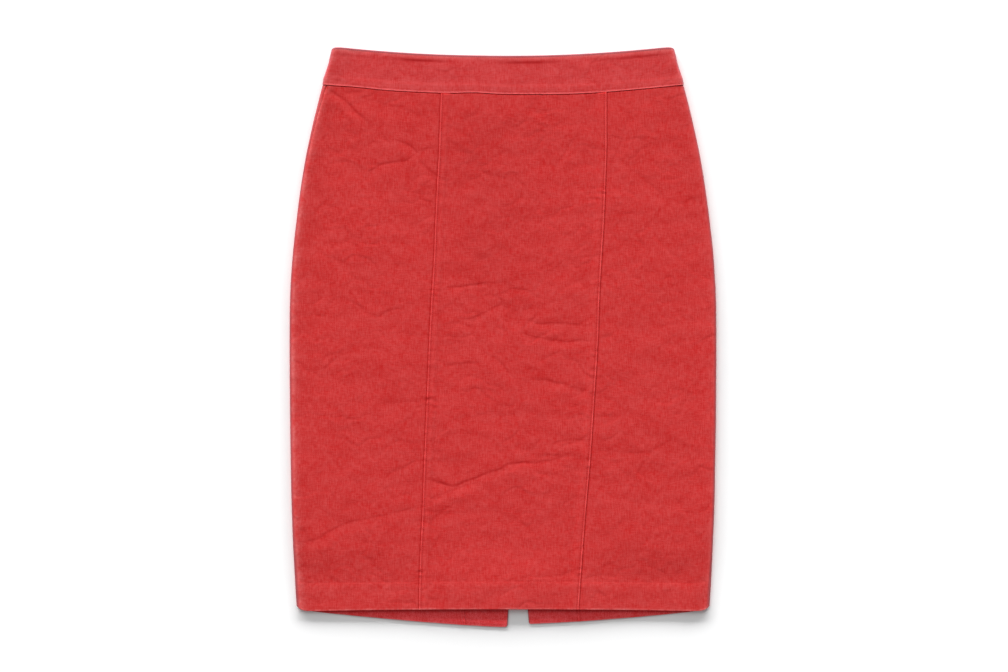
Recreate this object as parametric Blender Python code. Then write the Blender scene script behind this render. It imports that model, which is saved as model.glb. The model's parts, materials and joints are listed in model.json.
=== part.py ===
"""Pencil skirt laid flat on its back: waistband, gored front and back, back slit and zip.

Metres, +Z up. The skirt lies on the XY plane with its front up, the waist towards +Y and
the hem towards -Y, and the origin is at the bottom centre of its box. The cloth is one
flattened tube. A place on it is (s, y): s runs along the cloth across the skirt, 0 in the
middle of the front and positive to the right, on round the side fold and back along the
underside. y is the height up the skirt.
"""

import math
from collections import namedtuple

import bmesh
import bpy
from mathutils import Matrix, Vector

MM = 0.001

# Cloth and seams
CLOTH = 1.2 * MM
BAND_WALL = 2.2 * MM  # outer cloth, interfacing and inner cloth
SEAM_GAP = 0.3 * MM
SIDE_GAP = 0.5 * MM  # at the side seams, which twist as they go round the folds
HEM_DEPTH = 30 * MM
FACING_WIDTH = 40 * MM  # turned in along each edge of the slit
STEP = 1.0 * MM  # the slope at the edge of a turned layer

# How the cloth lies
FOLD_SPREAD = 15 * MM  # how far in from a side fold the front sinks
HEM_LOFT = 5.4 * MM
LEAST_CLEAR = 0.45 * MM  # air between the front and what lies under it

# radius: outside of the side folds. loft: the front's outer face above the ground.
Layer = namedtuple("Layer", "radius loft wall")
PANELS = Layer(3.0 * MM, 4.6 * MM, CLOTH)
BAND = Layer(3.3 * MM, 5.5 * MM, BAND_WALL)

# The skirt from hem to waist. y: height. half_width: from the middle to the outline.
# seam_left, seam_right: the front panel seams. wrap_left, wrap_right: how far the front
# runs past the start of each side fold before it meets the back.
Level = namedtuple("Level", "y half_width seam_left seam_right wrap_left wrap_right")
LEVELS = [
    Level(*(value * MM for value in row))
    for row in (
        (-320, 225.2, -92.6, 82.2, 8.3, -1.0),
        (-302, 226.4, -92.4, 83.1, 8.3, -1.0),
        (-250, 229.5, -91.5, 86.6, 8.0, 1.4),
        (-201, 231.7, -89.1, 90.2, 6.5, 6.0),
        (-135, 233.2, -86.6, 96.0, 6.0, 13.0),
        (-69, 234.1, -83.9, 100.4, 6.0, 21.8),
        (-3, 234.4, -81.2, 104.5, 6.0, 28.7),
        (41, 234.0, -78.9, 106.0, 6.0, 32.5),
        (85, 231.6, -76.1, 108.4, 5.5, 37.0),
        (129, 227.0, -74.4, 111.1, 4.3, 41.0),
        (173, 220.9, -72.2, 112.8, 2.5, 43.5),
        (206, 215.1, -70.4, 113.9, 1.0, 45.0),
        (239, 207.9, -69.3, 113.9, 0.0, 45.5),
        (276, 198.5, -68.0, 114.0, -1.5, 46.0),
        (299, 192.2, -67.5, 114.0, -2.0, 46.0),
        (322, 184.6, -67.0, 114.0, -2.0, 46.0),
    )
]

# Hem, waist seam and top edge, in the middle of the skirt and how much they curve
HEM_Y, HEM_ARCH = -299.3 * MM, 2.1 * MM
WAIST_Y, WAIST_ARCH = 267.5 * MM, 10.2 * MM
TOP_Y, TOP_ARCH = 308.96 * MM, 10.0 * MM
ARCH_HALF = 210 * MM, 198 * MM, 183 * MM  # where each has curved by its arch
BACK_TOP_LOWER = 1.0 * MM
HEM_CORNER, TOP_CORNER = 6.0 * MM, 3.6 * MM  # rounding at the side folds
CORNER_SOFT = 4.5 * MM
# The back is longer than the front: how much in the middle, and how it runs out sideways
BACK_DROP = {-1: (18.9 * MM, 1.35), 1: (16.2 * MM, 1.6)}
DROP_REACH = 214 * MM
EDGE_ZONE = 40 * MM  # rows this near the hem run parallel to it
HEM_FADE, WAIST_FADE = 120 * MM, 80 * MM  # rows turn level over this much further on

# Centre back: seam, zip and slit. The two ends of the seam are (x, y)
BACK_WAIST = -23.7 * MM, 276 * MM
SLIT_TOP = 15.5 * MM, -156 * MM
SLIT_EDGES = {-1: 6.0 * MM, 1: 28.0 * MM}  # x of the slit's edges at the hem
SLIT_FOOT_Y = -317 * MM
BACK_SEAMS = {-1: (-95.7 * MM, -42.9 * MM), 1: (48.3 * MM, 84.7 * MM)}  # x at waist, hem
ZIP_LENGTH = 180 * MM
ZIP_GAP = 1.4 * MM  # between the two cloth edges along the zip
ZIP_TAPE_HALF = 11 * MM
ZIP_TAPE = 1.0 * MM
ZIP_COIL = 0.4 * MM  # the closed coil stands this high on the tape
ZIP_COIL_HALF = 1.2 * MM
ZIP_TOP_INSET = 2.0 * MM
BAND_CLEAR = 0.4 * MM  # between the band's lower edge and the panels
BAND_SEAM_TURN = 0.9  # the band's left seam is this far round the fold

# The band bridges the slider and its pull tab, and rises here
LIFT = 2.7 * MM
LIFT_HALF, LIFT_FADE = 4.0 * MM, 12 * MM
LIFT_COLUMNS = [4 * MM, 7 * MM, 9 * MM, ZIP_TAPE_HALF]  # shared by the band and the tape
LIFT_LOW, LIFT_LOW_FADE = 282 * MM, 13 * MM
BAND_FLAT = 18 * MM  # from here out the back of the band lies flat
BUMP = 2.9 * MM  # the front over it
BUMP_WIDTH = 22 * MM
BUMP_LOW, BUMP_LOW_FADE = 282 * MM, 34 * MM

# Slider and pull tab, in their own frame: X along the hinge, +Y to the waist
HINGE_Y, HINGE_Z = 301.5 * MM, 1.1 * MM
BODY_SIZE = Vector((4.4, 8.0, 1.4)) * MM
NECK_SIZE = Vector((0.8, 3.0, 0)) * MM
YOKE_SIZE = Vector((3.6, 2.4, 0.4)) * MM
YOKE_LOW = 2.0 * MM
EAR_SIZE = Vector((0.5, 1.6, 1.6)) * MM
PIN_RADIUS = 0.3 * MM
BARREL_RADIUS, BARREL_LENGTH = 0.8 * MM, 2.2 * MM
BORE_RADIUS = 0.45 * MM
PULL_THICK = 0.7 * MM
PULL_RISE = 0.05 * MM  # of its lower face above the barrel's
PULL_LENGTH, PULL_NECK = 18 * MM, 3 * MM
PULL_HALVES = 0.95 * MM, 2.7 * MM  # half its width at the neck and at its end
PULL_END_SIDES, ROD_SIDES = 12, 16

# The largest folds of the front: a trough through three points, ridged on its lower side
Fold = namedtuple("Fold", "start middle end depth width ridge")
FOLDS = (
    Fold((-80, -166), (-3, -146), (92, -121), 1.9, 5.5, 0.9),
    Fold((-218, -226), (-150, -200), (-90, -187), 1.2, 6.0, 0.7),
    Fold((-190, 270), (-172, 260), (-140, 236), 1.3, 6.0, 0.5),
    Fold((-134, 221), (-113, 209), (-88, 203), 1.3, 5.5, 0.7),
    Fold((-150, 183), (-118, 195), (-92, 201), 1.2, 5.5, 0.7),
    Fold((-70, 50), (-15, 62), (42, 46), 1.2, 5.5, 0.6),
    Fold((-54, 12), (-25, 32), (0, 38), 1.0, 5.5, 0.6),
    Fold((32, 18), (66, 12), (100, 9), 1.3, 5.5, 0.7),
    Fold((32, -43), (64, -51), (99, -61), 1.2, 5.5, 0.6),
    Fold((112, -124), (160, -125), (206, -112), 0.9, 6.0, 0.4),
    Fold((116, 252), (117, 170), (112, 84), 0.9, 7.0, 0.3),
)
FOLD_STEPS = 10
FOLD_TIP = 0.08  # a fold fades to nothing this far past each end, as a share of its length
RIDGE_OFF, RIDGE_WIDTH = 2.1, 1.4  # the ridge's place and width, in widths of its trough

# Spacing of the mesh
FRONT_ROW, FINE_ROW, BACK_ROW = 13 * MM, 8 * MM, 26 * MM
FINE_ROWS = (-250 * MM, -112 * MM)  # deepest fold, and a side seam crossing its fold
CENTRE_COLUMNS, SIDE_COLUMNS, FOLD_COLUMNS, UNDER_COLUMNS = 16, 8, 5, 2
BACK_COLUMNS = 3
BAND_COLUMNS, BAND_ROWS, BACK_BAND_ROWS = 24, 5, 9
ZIP_ROWS = 8
LEAST_CELL = 0.75 * MM
WELD = 0.001 * MM
SHARP_ANGLE = math.radians(40)
CLOTH_ROUGH, TAPE_ROUGH, METAL_ROUGH = 0.85, 0.8, 0.35

RED = (0.60, 0.045, 0.043)
BAND_RED = (0.64, 0.060, 0.062)
TAPE_RED = (0.45, 0.030, 0.032)
ZINC = (0.62, 0.60, 0.57)


# --- small helpers -------------------------------------------------------------------


def smooth(t):
    """0 below 0, 1 above 1, and a soft step between."""
    t = min(max(t, 0.0), 1.0)
    return t * t * (3 - 2 * t)


def mix(a, b, t):
    return a + (b - a) * t


def spread(start, end, count):
    return [mix(start, end, i / count) for i in range(count + 1)]


def at(column, y):
    """A column of LEVELS at height y, on a smooth curve through the rows."""
    last = len(LEVELS) - 1
    i = next((k for k in range(last) if y < LEVELS[k + 1].y), last - 1)
    rows = [LEVELS[min(max(k, 0), last)] for k in (i - 1, i, i + 1, i + 2)]
    y0, y1, y2, y3 = (row.y for row in rows)
    v0, v1, v2, v3 = (getattr(row, column) for row in rows)
    span = y2 - y1
    t = min(max((y - y1) / span, 0.0), 1.0)
    slope1 = (v2 - v0) / (y2 - y0) * span
    slope2 = (v3 - v1) / (y3 - y1) * span
    return (
        v1 * (1 + t * t * (2 * t - 3))
        + v2 * t * t * (3 - 2 * t)
        + slope1 * t * (1 - t) ** 2
        + slope2 * t * t * (t - 1)
    )


# --- where the cloth lies ------------------------------------------------------------


def back_centre(y):
    """x of the centre back seam, and of the line through the slit."""
    (x0, y0), (x1, y1) = BACK_WAIST, SLIT_TOP
    return mix(x0, x1, (y - y0) / (y1 - y0))


def slit_edge(side, y):
    """x of the centre back edge of one half, along the seam and down the slit."""
    (x, top), foot = SLIT_TOP, SLIT_EDGES[side]
    if y > top:
        return back_centre(y)
    return mix(x, foot, (top - y) / (top - SLIT_FOOT_Y))


def from_centre_back(x, y):
    return x - back_centre(y)


def zip_lift(x, y):
    """How far the pull tab and slider lift the back of the waistband."""
    beside = (abs(from_centre_back(x, y)) - LIFT_HALF) / LIFT_FADE
    return LIFT * (1 - smooth(beside)) * smooth((y - LIFT_LOW) / LIFT_LOW_FADE + 1)


def zip_bump(x, y):
    sideways = math.exp(-((from_centre_back(x, y) / BUMP_WIDTH) ** 2))
    return BUMP * sideways * smooth((y - BUMP_LOW) / BUMP_LOW_FADE + 1)


def bent_line(fold):
    """Points along a fold, in metres, from its start to its end through its middle."""
    a, m, b = (Vector(p) * MM for p in (fold.start, fold.middle, fold.end))
    control = 2 * m - (a + b) / 2
    steps = spread(0, 1, FOLD_STEPS)
    return [a * (1 - t) ** 2 + control * 2 * t * (1 - t) + b * t * t for t in steps]


FOLD_LINES = [(fold, bent_line(fold)) for fold in FOLDS]


def fold_height(x, y):
    """What the folds add to the front's height: below 0 in a trough, above 0 on a ridge."""
    total = 0.0
    for fold, line in FOLD_LINES:
        width = fold.width * MM
        best = None
        for i in range(FOLD_STEPS):
            along = line[i + 1] - line[i]
            to_point = Vector((x, y)) - line[i]
            t = min(max(to_point.dot(along) / along.length_squared, 0.0), 1.0)
            off = to_point - along * t
            if best is None or off.length < best[0]:
                above = along.x * off.y - along.y * off.x
                best = (off.length, math.copysign(off.length, above), (i + t) / FOLD_STEPS)
        _, side, t = best
        if fold.end[0] < fold.start[0]:
            side = -side
        fade = math.sin(math.pi * mix(FOLD_TIP, 1 - FOLD_TIP, t))
        trough = math.exp(-((side / width) ** 2))
        ridge = math.exp(-((side / width + RIDGE_OFF) / RIDGE_WIDTH) ** 2)
        total += fade * (fold.ridge * ridge - fold.depth * trough) * MM
    return total


def over_facing(x, y):
    """Whether (x, y) is over, or one cell away from, the part of the back that is doubled."""
    if y > SLIT_TOP[1] + FRONT_ROW:
        return False
    reach = FACING_WIDTH + FRONT_ROW
    return slit_edge(-1, y) - reach < x < slit_edge(1, y) + reach


def flat_half(y, layer):
    """|s| where the side folds start."""
    return at("half_width", y) - layer.radius


def front_height(x, y, layer, wall):
    """The front's outer face above the ground, where the cloth is wall thick."""
    height, under = layer.loft, BAND_WALL
    if layer is PANELS:
        hem = 1 - smooth((y - HEM_Y - HEM_DEPTH) / EDGE_ZONE)
        height = mix(height, HEM_LOFT, hem) + fold_height(x, y) * (1 - hem)
        doubled = over_facing(x, y) or y < HEM_Y + HEM_DEPTH
        under = 2 * CLOTH if doubled else CLOTH
    near_fold = math.exp(-(((flat_half(y, layer) - abs(x)) / FOLD_SPREAD) ** 2))
    height = mix(height, 2 * layer.radius, near_fold) + zip_bump(x, y)
    return max(height, under + LEAST_CLEAR + wall)


def across(s, y, layer):
    """x of a place, and how far round it is: 0 on the front, 1 on the underside."""
    flat, round_length = flat_half(y, layer), math.pi * layer.radius
    past = abs(s) - flat
    if past <= 0:
        return s, 0.0
    side = math.copysign(1, s)
    if past >= round_length:
        return side * (flat - past + round_length), 1.0
    return side * (flat + layer.radius * math.sin(past / layer.radius)), past / round_length


def lay(s, y, depth, layer, wall):
    """The point at place (s, y), depth below the outer face of the cloth."""
    x, turn = across(s, y, layer)
    if turn == 0:
        return Vector((x, y, front_height(x, y, layer, wall) - depth))
    if turn == 1:
        return Vector((x, y, zip_lift(x, y) + depth))
    x -= math.copysign(depth * math.sin(turn * math.pi), s)
    return Vector((x, y, layer.radius + (layer.radius - depth) * math.cos(turn * math.pi)))


def under_place(x, y, side, layer):
    """s of the place on the underside at x, reached round the given side."""
    return side * (2 * flat_half(y, layer) + math.pi * layer.radius) - x


def corner(x, y, size):
    return size * math.exp(-(at("half_width", y) - abs(x)) / CORNER_SOFT)


def hem_line(s, layer):
    x, turn = across(s, HEM_Y, layer)
    drop, power = BACK_DROP[-1 if x < back_centre(HEM_Y) else 1]
    front = HEM_Y - HEM_ARCH * (x / ARCH_HALF[0]) ** 2
    back = drop * max(0.0, 1 - (abs(x) / DROP_REACH) ** power)
    return front - back * turn + corner(x, HEM_Y, HEM_CORNER)


def waist_line(s, layer):
    x, _ = across(s, WAIST_Y, layer)
    return WAIST_Y + WAIST_ARCH * (x / ARCH_HALF[1]) ** 2


def top_line(s, layer):
    x, turn = across(s, TOP_Y, layer)
    rise = TOP_ARCH * (x / ARCH_HALF[2]) ** 2
    return TOP_Y + rise - BACK_TOP_LOWER * turn - corner(x, TOP_Y, TOP_CORNER)


# --- seams, each as the place s where it lies at height y --------------------------------


def front_seam_left(y, layer):
    return at("seam_left", y)


def front_seam_right(y, layer):
    return at("seam_right", y)


def side_seam_left(y, layer):
    return -flat_half(y, layer) - at("wrap_left", y)


def side_seam_right(y, layer):
    return flat_half(y, layer) + at("wrap_right", y)


def band_seam_left(y, layer):
    return -flat_half(y, layer) - math.pi * layer.radius * BAND_SEAM_TURN


def back_seam(side):
    def seam(y, layer):
        waist, hem = BACK_SEAMS[side]
        x = mix(hem, waist, (y - SLIT_FOOT_Y) / (BACK_WAIST[1] - SLIT_FOOT_Y))
        return under_place(x, y, side, layer)

    return seam


def centre_back(side):
    def seam(y, layer):
        zipped = smooth((y - TOP_Y + ZIP_LENGTH) / HEM_DEPTH)
        parting = mix(SEAM_GAP, ZIP_GAP, zipped) / 2
        x = slit_edge(side, y) + side * (parting - SEAM_GAP / 2)
        return under_place(x, y, side, layer)

    return seam


def fold_places(side, y, layer):
    """Places across a side fold, in order of rising s."""
    flat = flat_half(y, layer)
    places = spread(side * flat, side * (flat + math.pi * layer.radius), FOLD_COLUMNS)
    return sorted(places)


# --- making a piece ------------------------------------------------------------------


def new_object(name, mesh, colour, roughness, metallic=0.0):
    material = bpy.data.materials.new(name)
    material.use_nodes = True
    shader = material.node_tree.nodes["Principled BSDF"]
    shader.inputs["Base Color"].default_value = (*colour, 1)
    shader.inputs["Roughness"].default_value = roughness
    shader.inputs["Metallic"].default_value = metallic
    mesh.materials.append(material)
    obj = bpy.data.objects.new(name, mesh)
    bpy.context.scene.collection.objects.link(obj)
    obj.parent = bpy.data.objects["skirt"]
    return obj


def wall_mesh(name, outer, inner):
    """A closed wall between two grids of points of the same shape."""
    rows, columns = len(outer), len(outer[0])
    mesh = bmesh.new()
    top = [[mesh.verts.new(point) for point in row] for row in outer]
    bottom = [[mesh.verts.new(point) for point in row] for row in inner]
    for i in range(rows - 1):
        for j in range(columns - 1):
            for grid in (top, bottom):
                mesh.faces.new((grid[i][j], grid[i][j + 1], grid[i + 1][j + 1], grid[i + 1][j]))
    rim = [(0, j) for j in range(columns)]
    rim += [(i, columns - 1) for i in range(1, rows)]
    rim += [(rows - 1, j) for j in range(columns - 2, -1, -1)]
    rim += [(i, 0) for i in range(rows - 2, 0, -1)]
    for (i, j), (k, m) in zip(rim, rim[1:] + rim[:1]):
        mesh.faces.new((top[k][m], top[i][j], bottom[i][j], bottom[k][m]))
    bmesh.ops.remove_doubles(mesh, verts=mesh.verts, dist=WELD)
    bmesh.ops.recalc_face_normals(mesh, faces=mesh.faces)
    data = bpy.data.meshes.new(name)
    mesh.to_mesh(data)
    mesh.free()
    data.shade_smooth()
    data.set_sharp_from_angle(angle=SHARP_ANGLE)
    return data


def between(low, high, places, y, layer):
    """The places across a piece at height y, with those near or past a seam moved to it."""
    twisting = side_seam_left, side_seam_right, band_seam_left
    gaps = [SIDE_GAP / 2 if seam in twisting else SEAM_GAP / 2 for seam in (low, high)]
    start, end = low(y, layer) + gaps[0], high(y, layer) - gaps[1]
    kept = [start if s < start + LEAST_CELL else s for s in places(y)]
    kept = [end if s > end - LEAST_CELL else s for s in kept]
    return [start, *kept, end]


def panel(name, low, high, places, levels, facing=None):
    """A gore between two seams, from the hem to the waist seam.

    places(y) gives its columns, and facing(s, y) says where a second layer lies on it.
    """
    outer, inner = [], []
    for level in levels:
        row = []
        for j, s in enumerate(between(low, high, places, level, PANELS)):
            hem = 1 - smooth((level - HEM_Y - EDGE_ZONE) / HEM_FADE)
            waist = 1 - smooth((WAIST_Y - level) / WAIST_FADE)
            y = level + hem * (hem_line(s, PANELS) - HEM_Y)
            y += waist * (waist_line(s, PANELS) - WAIST_Y)
            row.append((between(low, high, places, y, PANELS)[j], y))
        turned = level - HEM_Y <= HEM_DEPTH
        walls = [2 * CLOTH if turned or (facing and facing(s, y)) else CLOTH for s, y in row]
        outer.append([lay(s, y, 0, PANELS, w) for (s, y), w in zip(row, walls)])
        inner.append([lay(s, y, w, PANELS, w) for (s, y), w in zip(row, walls)])
    return new_object(name, wall_mesh(name, outer, inner), RED, CLOTH_ROUGH)


def levels_up(spacing, extra=()):
    """Row heights from hem to waist seam: the turned hem, then every spacing or so."""
    start = HEM_Y + HEM_DEPTH
    stops = [HEM_Y, HEM_Y + HEM_DEPTH / 2, start, start + STEP, *extra, WAIST_Y]
    levels = []
    for low, high in zip(stops, stops[1:]):
        step = FINE_ROW if low in FINE_ROWS and high in FINE_ROWS else spacing
        levels += spread(low, high, max(1, round((high - low) / step)))[:-1]
    return [*levels, WAIST_Y]


def front_panels():
    levels = levels_up(FRONT_ROW, FINE_ROWS)

    def centre(y):
        return spread(front_seam_left(y, PANELS), front_seam_right(y, PANELS), CENTRE_COLUMNS)

    def left(y):
        flat = flat_half(y, PANELS)
        across_panel = spread(-flat, front_seam_left(y, PANELS), SIDE_COLUMNS)
        return fold_places(-1, y, PANELS) + across_panel[1:]

    def right(y):
        flat = flat_half(y, PANELS)
        across_panel = spread(front_seam_right(y, PANELS), flat, SIDE_COLUMNS)
        end = flat + math.pi * PANELS.radius
        under = spread(end, max(end, side_seam_right(y, PANELS)), UNDER_COLUMNS)
        return across_panel[:-1] + fold_places(1, y, PANELS) + under[1:]

    panel("front_centre", front_seam_left, front_seam_right, centre, levels)
    panel("front_side_left", side_seam_left, front_seam_left, left, levels)
    panel("front_side_right", front_seam_right, side_seam_right, right, levels)


def back_panels():
    side_levels = levels_up(FRONT_ROW, FINE_ROWS)
    centre_levels = levels_up(BACK_ROW, (SLIT_TOP[1] - STEP, SLIT_TOP[1]))

    for side, word in ((-1, "left"), (1, "right")):
        seam, middle = back_seam(side), centre_back(side)
        edge = side_seam_left if side < 0 else side_seam_right

        def outer_part(y, side=side, seam=seam, edge=edge):
            end = side * (flat_half(y, PANELS) + math.pi * PANELS.radius)
            start = side * max(side * end, side * edge(y, PANELS))
            run = spread(start, seam(y, PANELS), BACK_COLUMNS)
            return sorted(fold_places(side, y, PANELS) + run[1:])

        def inner_part(y, side=side, seam=seam, middle=middle):
            edge_s = middle(y, PANELS)
            facing_s = edge_s - side * FACING_WIDTH
            places = [edge_s, mix(edge_s, facing_s, 0.5), facing_s, facing_s - side * STEP]
            return sorted([*places, seam(y, PANELS)])

        def facing(s, y, side=side, middle=middle):
            doubled = y <= SLIT_TOP[1] - STEP / 2
            return doubled and abs(s - middle(y, PANELS)) <= FACING_WIDTH + STEP / 2

        low, high = (seam, edge) if side < 0 else (edge, seam)
        panel(f"back_side_{word}", low, high, outer_part, side_levels)
        low, high = (middle, seam) if side < 0 else (seam, middle)
        panel(f"back_centre_{word}", low, high, inner_part, centre_levels, facing)


# --- waistband -----------------------------------------------------------------------


def band(name, low, high, places, rows):
    """A stretch of the waistband between two seams."""
    outer, inner = [], []
    for v in spread(0, 1, rows):
        row = []
        level = mix(WAIST_Y, TOP_Y, v)
        count = len(places(level))
        for j in range(count + 2):
            y = level
            for _ in range(2):
                s = between(low, high, places, y, BAND)[j]
                y = mix(waist_line(s, BAND) + BAND_CLEAR, top_line(s, BAND), v)
            row.append((s, y))
        walls = [band_wall(s, y) for s, y in row]
        outer.append([lay(s, y, 0, BAND, BAND_WALL) for s, y in row])
        inner.append([lay(s, y, w, BAND, BAND_WALL) for (s, y), w in zip(row, walls)])
    return new_object(name, wall_mesh(name, outer, inner), BAND_RED, CLOTH_ROUGH)


def band_wall(s, y):
    """The band is one cloth thick where the zip tape is sewn under it."""
    x, turn = across(s, y, BAND)
    beside = (abs(from_centre_back(x, y)) - ZIP_TAPE_HALF - STEP) / (2 * STEP)
    return mix(CLOTH, BAND_WALL, smooth(beside)) if turn == 1 else BAND_WALL


def waistband():
    def front(y):
        flat = flat_half(y, BAND)
        end = flat + math.pi * BAND.radius
        places = fold_places(-1, y, BAND) + spread(-flat, flat, BAND_COLUMNS)[1:-1]
        under = spread(end, side_seam_right(y, BAND), UNDER_COLUMNS)
        return places + fold_places(1, y, BAND) + under[1:]

    band("waistband_front", band_seam_left, side_seam_right, front, BAND_ROWS)
    for side, word in ((-1, "left"), (1, "right")):
        middle = centre_back(side)
        edge = band_seam_left if side < 0 else side_seam_right

        def back(y, side=side, middle=middle, edge=edge):
            inset = [*LIFT_COLUMNS, ZIP_TAPE_HALF + STEP, ZIP_TAPE_HALF + 3 * STEP, BAND_FLAT]
            near = [under_place(back_centre(y) + side * d, y, side, BAND) for d in inset]
            end = side * (flat_half(y, BAND) + math.pi * BAND.radius)
            start = side * max(side * end, side * edge(y, BAND))
            run = spread(start, near[-1], BACK_COLUMNS)
            return sorted([*near, *run[:-1]])

        low, high = (middle, edge) if side < 0 else (edge, middle)
        band(f"waistband_back_{word}", low, high, back, BACK_BAND_ROWS)


# --- zip -----------------------------------------------------------------------------


def box_mesh(name, low, high):
    mesh = bmesh.new()
    middle, size = (Vector(low) + Vector(high)) / 2, Vector(high) - Vector(low)
    place = Matrix.Translation(middle) @ Matrix.Diagonal((*size, 1))
    bmesh.ops.create_cube(mesh, size=1, matrix=place)
    data = bpy.data.meshes.new(name)
    mesh.to_mesh(data)
    mesh.free()
    return data


def rod_mesh(name, radius, length):
    """A round rod along X, centred on the origin."""
    mesh = bmesh.new()
    bmesh.ops.create_cone(
        mesh,
        cap_ends=True,
        segments=ROD_SIDES,
        radius1=radius,
        radius2=radius,
        depth=length,
        matrix=Matrix.Rotation(math.radians(90), 4, "Y"),
    )
    data = bpy.data.meshes.new(name)
    mesh.to_mesh(data)
    mesh.free()
    return data


def combine(obj, data, operation):
    """Adds a mesh to obj, or cuts it away, in obj's own frame."""
    tool = bpy.data.objects.new(f"{obj.name}_{data.name}", data)
    bpy.context.scene.collection.objects.link(tool)
    tool.parent = obj
    tool.hide_render = True
    tool.display_type = "WIRE"
    modifier = obj.modifiers.new(data.name, "BOOLEAN")
    modifier.object = tool
    modifier.operation = operation


def stand_on_hinge(obj):
    """Puts a piece's origin on the pull tab's hinge, with its Y along the centre back."""
    (x0, y0), (x1, y1) = BACK_WAIST, SLIT_TOP
    obj.location = back_centre(HINGE_Y), HINGE_Y, HINGE_Z
    obj.rotation_euler.z = math.atan2(x0 - x1, y1 - y0) + math.pi


def slider_body_box(clear=0.0):
    """Corners of the slider's body, inside the skirt, from the hinge."""
    low = LIFT + CLOTH + SEAM_GAP - HINGE_Z
    half = BODY_SIZE / 2 + Vector((clear, clear, clear))
    middle = Vector((0, 0, low + BODY_SIZE.z / 2))
    return middle - half, middle + half


def zip_slider():
    low, high = slider_body_box()
    obj = new_object("zip_slider", box_mesh("body", low, high), ZINC, METAL_ROUGH, 1.0)
    yoke_low = YOKE_LOW - HINGE_Z
    yoke_high = yoke_low + YOKE_SIZE.z
    overlap = YOKE_SIZE.z / 2
    x, y = NECK_SIZE.x / 2, NECK_SIZE.y / 2
    neck = box_mesh("neck", (-x, -y, yoke_high - overlap), (x, y, low.z + overlap))
    combine(obj, neck, "UNION")
    x, y = YOKE_SIZE.x / 2, YOKE_SIZE.y / 2
    combine(obj, box_mesh("yoke", (-x, -y, yoke_low), (x, y, yoke_high)), "UNION")
    for side in (-1, 1):
        near, far = side * (x - EAR_SIZE.x), side * x
        ear_low = yoke_low + overlap - EAR_SIZE.z
        ear = box_mesh(
            f"ear_{side}",
            (min(near, far), -EAR_SIZE.y / 2, ear_low),
            (max(near, far), EAR_SIZE.y / 2, yoke_low + overlap),
        )
        combine(obj, ear, "UNION")
    pin = rod_mesh("pin", PIN_RADIUS, YOKE_SIZE.x - EAR_SIZE.x)
    combine(obj, pin, "UNION")
    stand_on_hinge(obj)


def zip_pull():
    """A flat drop-shaped tab on a barrel that turns on the slider's pin."""
    narrow, wide = PULL_HALVES
    end = PULL_LENGTH - wide
    outline = [(narrow, 0), (narrow, -PULL_NECK)]
    outline += [
        (wide * math.cos(a), -end - wide * math.sin(a))
        for a in spread(0, math.pi, PULL_END_SIDES)
    ]
    outline += [(-narrow, -PULL_NECK), (-narrow, 0)]
    low = PULL_RISE - BARREL_RADIUS
    mesh = bmesh.new()
    base = [mesh.verts.new((x, y, low)) for x, y in outline]
    face = mesh.faces.new(base)
    raised = bmesh.ops.extrude_face_region(mesh, geom=[face])["geom"]
    moved = [part for part in raised if isinstance(part, bmesh.types.BMVert)]
    bmesh.ops.translate(mesh, verts=moved, vec=(0, 0, PULL_THICK))
    bmesh.ops.recalc_face_normals(mesh, faces=mesh.faces)
    data = bpy.data.meshes.new("zip_pull")
    mesh.to_mesh(data)
    mesh.free()
    obj = new_object("zip_pull", data, ZINC, METAL_ROUGH, 1.0)
    combine(obj, rod_mesh("barrel", BARREL_RADIUS, BARREL_LENGTH), "UNION")
    combine(obj, rod_mesh("bore", BORE_RADIUS, 2 * BARREL_LENGTH), "DIFFERENCE")
    stand_on_hinge(obj)


def zip_tape():
    """Both tapes and the closed coil, inside the skirt under the centre back edges."""
    halves = [ZIP_COIL_HALF, BODY_SIZE.x / 2 + SEAM_GAP, *LIFT_COLUMNS]
    offsets = [-d for d in reversed(halves)] + [0] + halves
    place = under_place(back_centre(TOP_Y), TOP_Y, 1, BAND)
    waist = waist_line(place, BAND) + BAND_CLEAR
    top = top_line(place, BAND)
    heights = spread(TOP_Y - ZIP_LENGTH, waist, ZIP_ROWS)[:-1]
    heights += spread(waist, top, BACK_BAND_ROWS)[:-1] + [top - ZIP_TOP_INSET]
    under, over = [], []
    for y in heights:
        under.append([])
        over.append([])
        for d in offsets:
            x = back_centre(y) + d
            z = zip_lift(x, y) + CLOTH + SEAM_GAP
            coil = ZIP_COIL if abs(d) <= ZIP_COIL_HALF else 0
            under[-1].append(Vector((x, y, z)))
            over[-1].append(Vector((x, y, z + ZIP_TAPE + coil)))
    obj = new_object("zip_tape", wall_mesh("zip_tape", over, under), TAPE_RED, TAPE_ROUGH)
    pocket = bpy.data.objects.new(
        "zip_pocket", box_mesh("pocket", *slider_body_box(clear=SEAM_GAP))
    )
    bpy.context.scene.collection.objects.link(pocket)
    pocket.hide_render = True
    pocket.display_type = "WIRE"
    stand_on_hinge(pocket)
    cut = obj.modifiers.new("pocket", "BOOLEAN")
    cut.object = pocket


def main():
    for obj in list(bpy.data.objects):
        bpy.data.objects.remove(obj)
    root = bpy.data.objects.new("skirt", None)
    bpy.context.scene.collection.objects.link(root)
    front_panels()
    back_panels()
    waistband()
    zip_tape()
    zip_slider()
    zip_pull()


main()
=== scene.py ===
"""Pencil skirt laid flat on its back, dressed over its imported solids.

Metres, +Z up. The cloth is one flattened tube. A place on it is (s, y): s runs along the cloth
across the skirt, 0 in the middle of the front and positive to the right, on round the side fold
and back along the underside. y is the height up the skirt. Each gore and each stretch of the
waistband is a thin closed shell over its solid's form, with its own creases, ripples, lapped
edges and stitching.
"""

import json
import math
from collections import namedtuple

import bmesh
import bpy
import numpy as np
from mathutils import Matrix, Vector

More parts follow.
